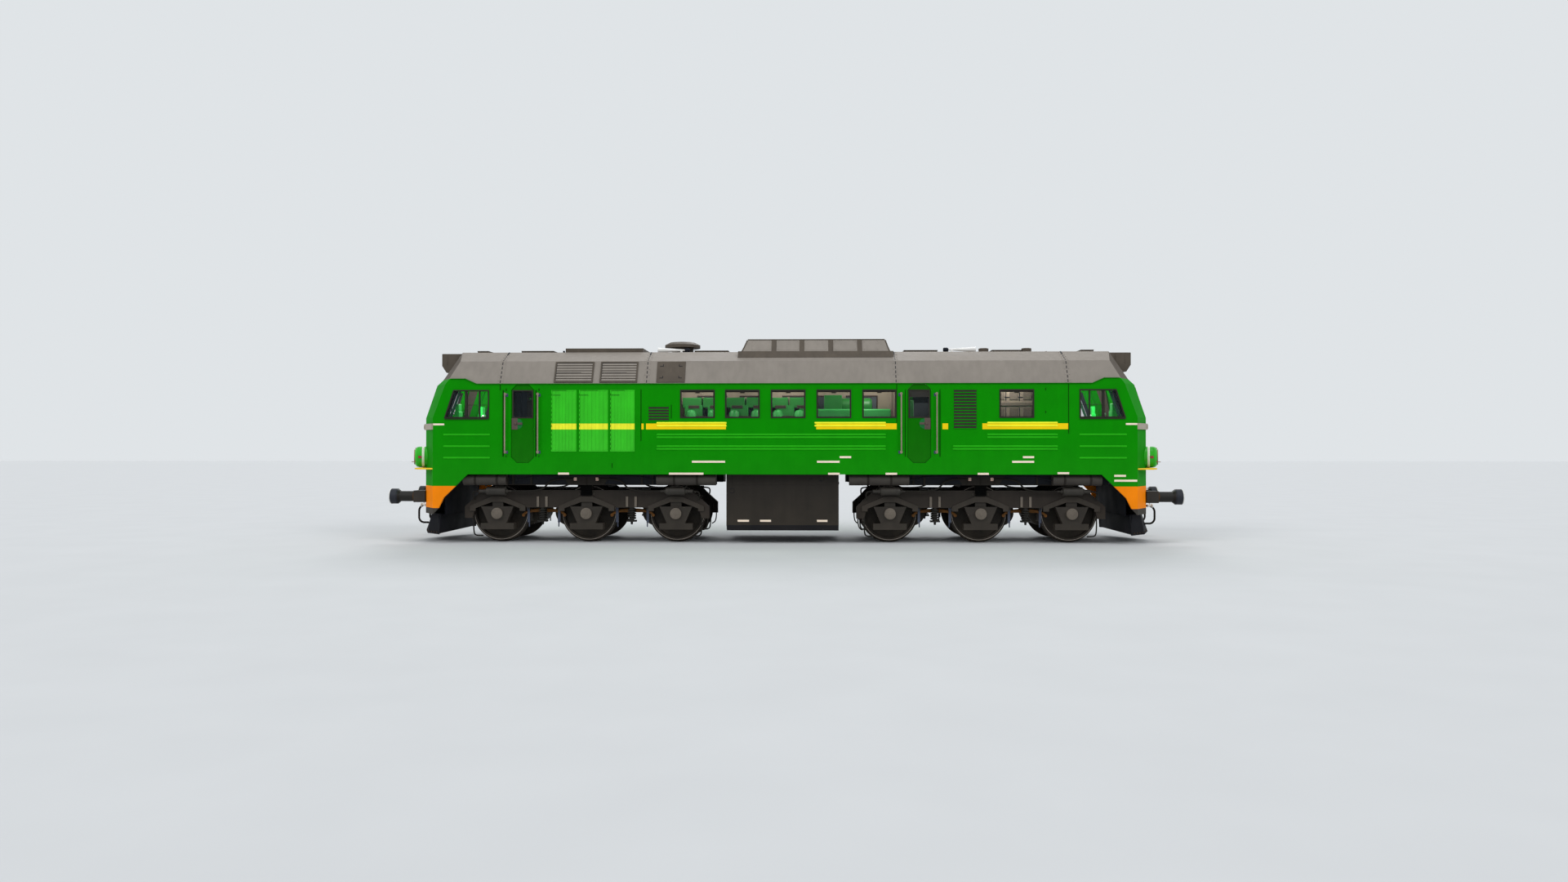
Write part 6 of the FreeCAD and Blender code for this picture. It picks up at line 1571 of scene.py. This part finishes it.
for across in (-0.9, -0.45, 0.45, 0.9):
    solid_box(bm, (6.28, across - 0.02, 1.62), (6.292, across + 0.02, 3.9))
piece("cab_linings", bm, "interior_paint", finish("cab_green", "35a24a", rough=0.5, mottle=0.06, gloss=0.2),
      both="X", edge=0.003)
bm = bmesh.new()
solid_box(bm, (6.285, -0.40, 1.62), (6.305, 0.40, 3.60))
for across in (-1.33, 1.33):
    solid_box(bm, (6.285, across - 0.05, 1.62), (6.34, across + 0.05, 3.48))
piece("cab_posts", bm, "interior_paint", post_brown, both="X", edge=0.005)

# ------------------------------------------------------------------ post covers
# Sheet covers over the corner posts beside the side windows and the windscreens, screwed on
# along the rake: navy at the window, dark green behind it, and brown beside the windscreen.
for name, tone, across, corners in (
        ("window_posts", "24272f", 1.352, ((7.070, 3.43), (7.175, 3.43), (7.420, 2.72), (7.340, 2.72))),
        ("window_edges", "23553c", 1.352, ((7.005, 3.43), (7.062, 3.43), (7.330, 2.72), (7.262, 2.72))),
        ("screen_posts", "3e362f", 0.900, ((7.39, 3.45), (7.60, 3.45), (7.70, 2.93), (7.72, 2.80), (7.62, 2.80)))):
    bm = bmesh.new()
    plate(bm, [(x, across, z) for x, z in corners], (0, 0.014, 0))
    piece(name, bm, "interior_paint", finish(name + "_paint", tone, rough=0.6, mottle=0.12, gloss=0.15),
          both="YX", edge=0.003)

# ------------------------------------------------------------------ brake stands
# Cast stands with the driver's brake valves, bolted to each desk beside both seats and painted
# bright green.
stand_green = finish("stand_green", "2dd755", rough=0.4, mottle=0.06, gloss=0.2)
bm = bmesh.new()
for across in (-0.86, 0.86):
    solid_box(bm, (7.235, across - 0.11, DESK_TOP), (7.315, across + 0.11, DESK_TOP + 0.47))
    solid_box(bm, (7.220, across - 0.13, DESK_TOP + 0.14), (7.330, across + 0.13, DESK_TOP + 0.30))
piece("brake_stands", bm, "interior_paint", stand_green, both="X", edge=0.012, steps=3)

# ------------------------------------------------------------------ driver's seats
# Two sprung seats in each cab: foam cushions covered in bright green cloth with piped edges, on
# a pressed pan and a steel pillar bolted to the floor.


def woven(name, colour):
    """Upholstery cloth: a fine over-and-under weave, a soft sheen and a little fading."""
    coating = Coating(name)
    waves = []
    for direction in ("X", "Y", "Z"):
        wave = coating.nodes.new("ShaderNodeTexWave")
        wave.bands_direction = direction
        wave.inputs["Scale"].default_value = 110
        wave.inputs["Distortion"].default_value = 0.6
        coating.links.new(coating.here, wave.inputs["Vector"])
        waves.append(wave.outputs["Fac"])
    weave = coating.all_of(coating.math("MAXIMUM", waves[0], waves[2]), waves[1])
    faded, gap = ([part * level for part in tint(colour)[:3]] + [1] for level in (0.78, 0.45))
    base = coating.mix(coating.spread(coating.noise(6), 0.3, 0.7), colour, faded)
    coating.set(Base_Color=coating.mix(coating.spread(weave, 0, 1, 0.25, 0), base, gap), Roughness=0.85,
                Sheen_Weight=0.3, Specular_IOR_Level=0.2)
    coating.relief(weave, 0.4, 0.002)
    return coating.material


def puffed(low, high, cap):
    """A foam cushion filled from inside by cloth pressure, as the mesh that comes of it."""
    core = bmesh.new()
    solid_box(core, low, high)
    bmesh.ops.bevel(core, geom=core.edges[:], offset=0.022, offset_type="OFFSET", segments=3, profile=0.5,
                    affect="EDGES", material=-1)
    holder = placed("cushion_core", mesh_of(core, "cushion_core"))
    remesh = holder.modifiers.new("even", "REMESH")
    remesh.mode, remesh.voxel_size = "VOXEL", 0.012
    depsgraph = bpy.context.evaluated_depsgraph_get()
    even = bpy.data.meshes.new_from_object(holder.evaluated_get(depsgraph))
    holder.modifiers.clear()
    holder.data = even
    flat = [v.co.copy() for v in even.vertices]
    cloth = holder.modifiers.new("filled", "CLOTH")
    cloth.settings.use_pressure = True
    cloth.settings.uniform_pressure_force = 4
    cloth.settings.effector_weights.gravity = 0
    for step in range(1, 21):
        bpy.context.scene.frame_set(step)
        bpy.context.view_layer.update()
    depsgraph = bpy.context.evaluated_depsgraph_get()
    filled = bpy.data.meshes.new_from_object(holder.evaluated_get(depsgraph))
    holder.modifiers.clear()
    bpy.context.scene.frame_set(1)
    for vertex, start, spot in zip(even.vertices, flat, [v.co.copy() for v in filled.vertices]):
        move = spot - start
        vertex.co = start + move * min(1, cap / max(move.length, 1e-6))
    shaped = bmesh.new()
    shaped.from_mesh(even)
    bmesh.ops.smooth_vert(shaped, verts=shaped.verts[:], factor=0.5, use_axis_x=True, use_axis_y=True, use_axis_z=True)
    bpy.data.objects.remove(holder)
    return shaped


seat_cloth = woven("seat_cloth", "33cc4c")
piping_green = finish("piping_green", "1f8a34", rough=0.6, mottle=0.1)
seat_steel = finish("seat_steel", "2b2b2a", rough=0.5, metal=0.4, mottle=0.15)
SEAT_HEEL, SEAT_IN, SEAT_OUT, GROOVE = 6.48, 0.39, 0.85, 0.018
CUSHIONS = (("squab", (SEAT_HEEL + 0.012, SEAT_IN + 0.014, 2.018), (6.896, SEAT_OUT - 0.014, 2.096), 0.012),
            ("back", (6.404, SEAT_IN + 0.014, 2.15), (SEAT_HEEL - 0.012, SEAT_OUT - 0.014, 2.842), 0.010))
for name, low, high, cap in CUSHIONS:
    cushion = puffed(low, high, cap)
    middle = Vector([(a + b) / 2 for a, b in zip(low, high)])
    for vertex in cushion.verts:
        offset = vertex.co - middle
        groove = abs(abs(offset.y) - 0.11) if name == "squab" else abs(abs(offset.z) - 0.13)
        if groove < GROOVE:
            inward = 0.006 * (1 - groove / GROOVE)
            if name == "squab" and offset.z > 0.03:
                vertex.co.z -= inward
            elif name == "back" and abs(offset.x) > 0.02:
                vertex.co.x -= math.copysign(inward, offset.x)
    made = piece("seat_" + name + "s", cushion, "seat_fabric", seat_cloth,
                 *(("driver_seats",) if name == "squab" else ()), both="YX", smooth=60)
bm = bmesh.new()
for name, low, high, cap in CUSHIONS:
    low, high = Vector(low), Vector(high)
    for level in (0.16, 0.84):
        spot = low.lerp(high, level)
        if name == "squab":
            route = [Vector((x, y, spot.z)) for x, y in oblong(low.x, high.x, low.y, high.y)]
        else:
            route = [Vector((spot.x, y, z)) for y, z in oblong(low.y, high.y, low.z, high.z)]
        loop = [first.lerp(second, part) for first, second in zip(route, route[1:] + route[:1])
                for part in (0.08, 0.5, 0.92)]
        pipe(bm, loop + loop[:1], 0.0055, 1)
piece("seat_piping", bm, "seat_fabric", piping_green, both="YX")
bm = bmesh.new()
centre = (SEAT_HEEL + 0.215, (SEAT_IN + SEAT_OUT) / 2)
turned(bm, [(0, 0), (0.15, 0), (0.15, 0.012), (0.065, 0.03), (0.050, 0.10), (0.045, 0.30), (0.060, 0.36),
            (0.060, 0.395), (0, 0.395)], (*centre, 1.603), "Z", 32)
solid_box(bm, (SEAT_HEEL - 0.02, SEAT_IN + 0.01, 1.995), (6.905, SEAT_OUT - 0.01, 2.015))
solid_box(bm, (SEAT_HEEL - 0.05, SEAT_IN + 0.10, 2.0), (SEAT_HEEL - 0.035, SEAT_IN + 0.14, 2.75))
solid_box(bm, (SEAT_HEEL - 0.05, SEAT_OUT - 0.14, 2.0), (SEAT_HEEL - 0.035, SEAT_OUT - 0.10, 2.75))
pipe(bm, [(SEAT_HEEL + 0.1, SEAT_OUT - 0.03, 2.0), (SEAT_HEEL + 0.12, SEAT_OUT + 0.03, 1.99),
          (SEAT_HEEL + 0.22, SEAT_OUT + 0.035, 2.0), (SEAT_HEEL + 0.28, SEAT_OUT + 0.03, 2.02)], 0.009)
for over, across in around(6, 0.12):
    bolt(bm, (centre[0] + over, centre[1] + across, 1.614), "Z", 0.010)
piece("seat_frames", bm, "seat_fabric", seat_steel, both="YX", edge=0.004)

# ------------------------------------------------------------------ room lamps
# Enclosed electric lamps screwed under the roof light the machine rooms and the cabs. Only
# their light is made: their cases are out of sight above the windows.
for name, x, y, z, power in (("engine_lamp_a", -2.0, -0.95, 3.75, 40), ("engine_lamp_b", 0.0, -0.95, 3.75, 40),
                             ("engine_lamp_c", 1.9, -0.95, 3.75, 40), ("engine_lamp_d", -1.0, 0.95, 3.75, 40),
                             ("engine_lamp_e", 1.2, 0.95, 3.75, 40), ("switch_lamp_a", 4.9, -1.1, 3.75, 42),
                             ("switch_lamp_b", 4.9, 1.1, 3.75, 42), ("cab_lamp_front", 6.95, 0, 3.55, 75),
                             ("cab_lamp_rear", -6.95, 0, 3.55, 75), ("room_lamp_rear", -5.2, -0.7, 2.5, 9),
                             ("room_lamp_front", 3.1, -1.0, 3.6, 9)):
    light = bpy.data.lights.new(name, "POINT")
    light.energy, light.shadow_soft_size = power, 0.15
    placed(name, light).location = (x, y, z)
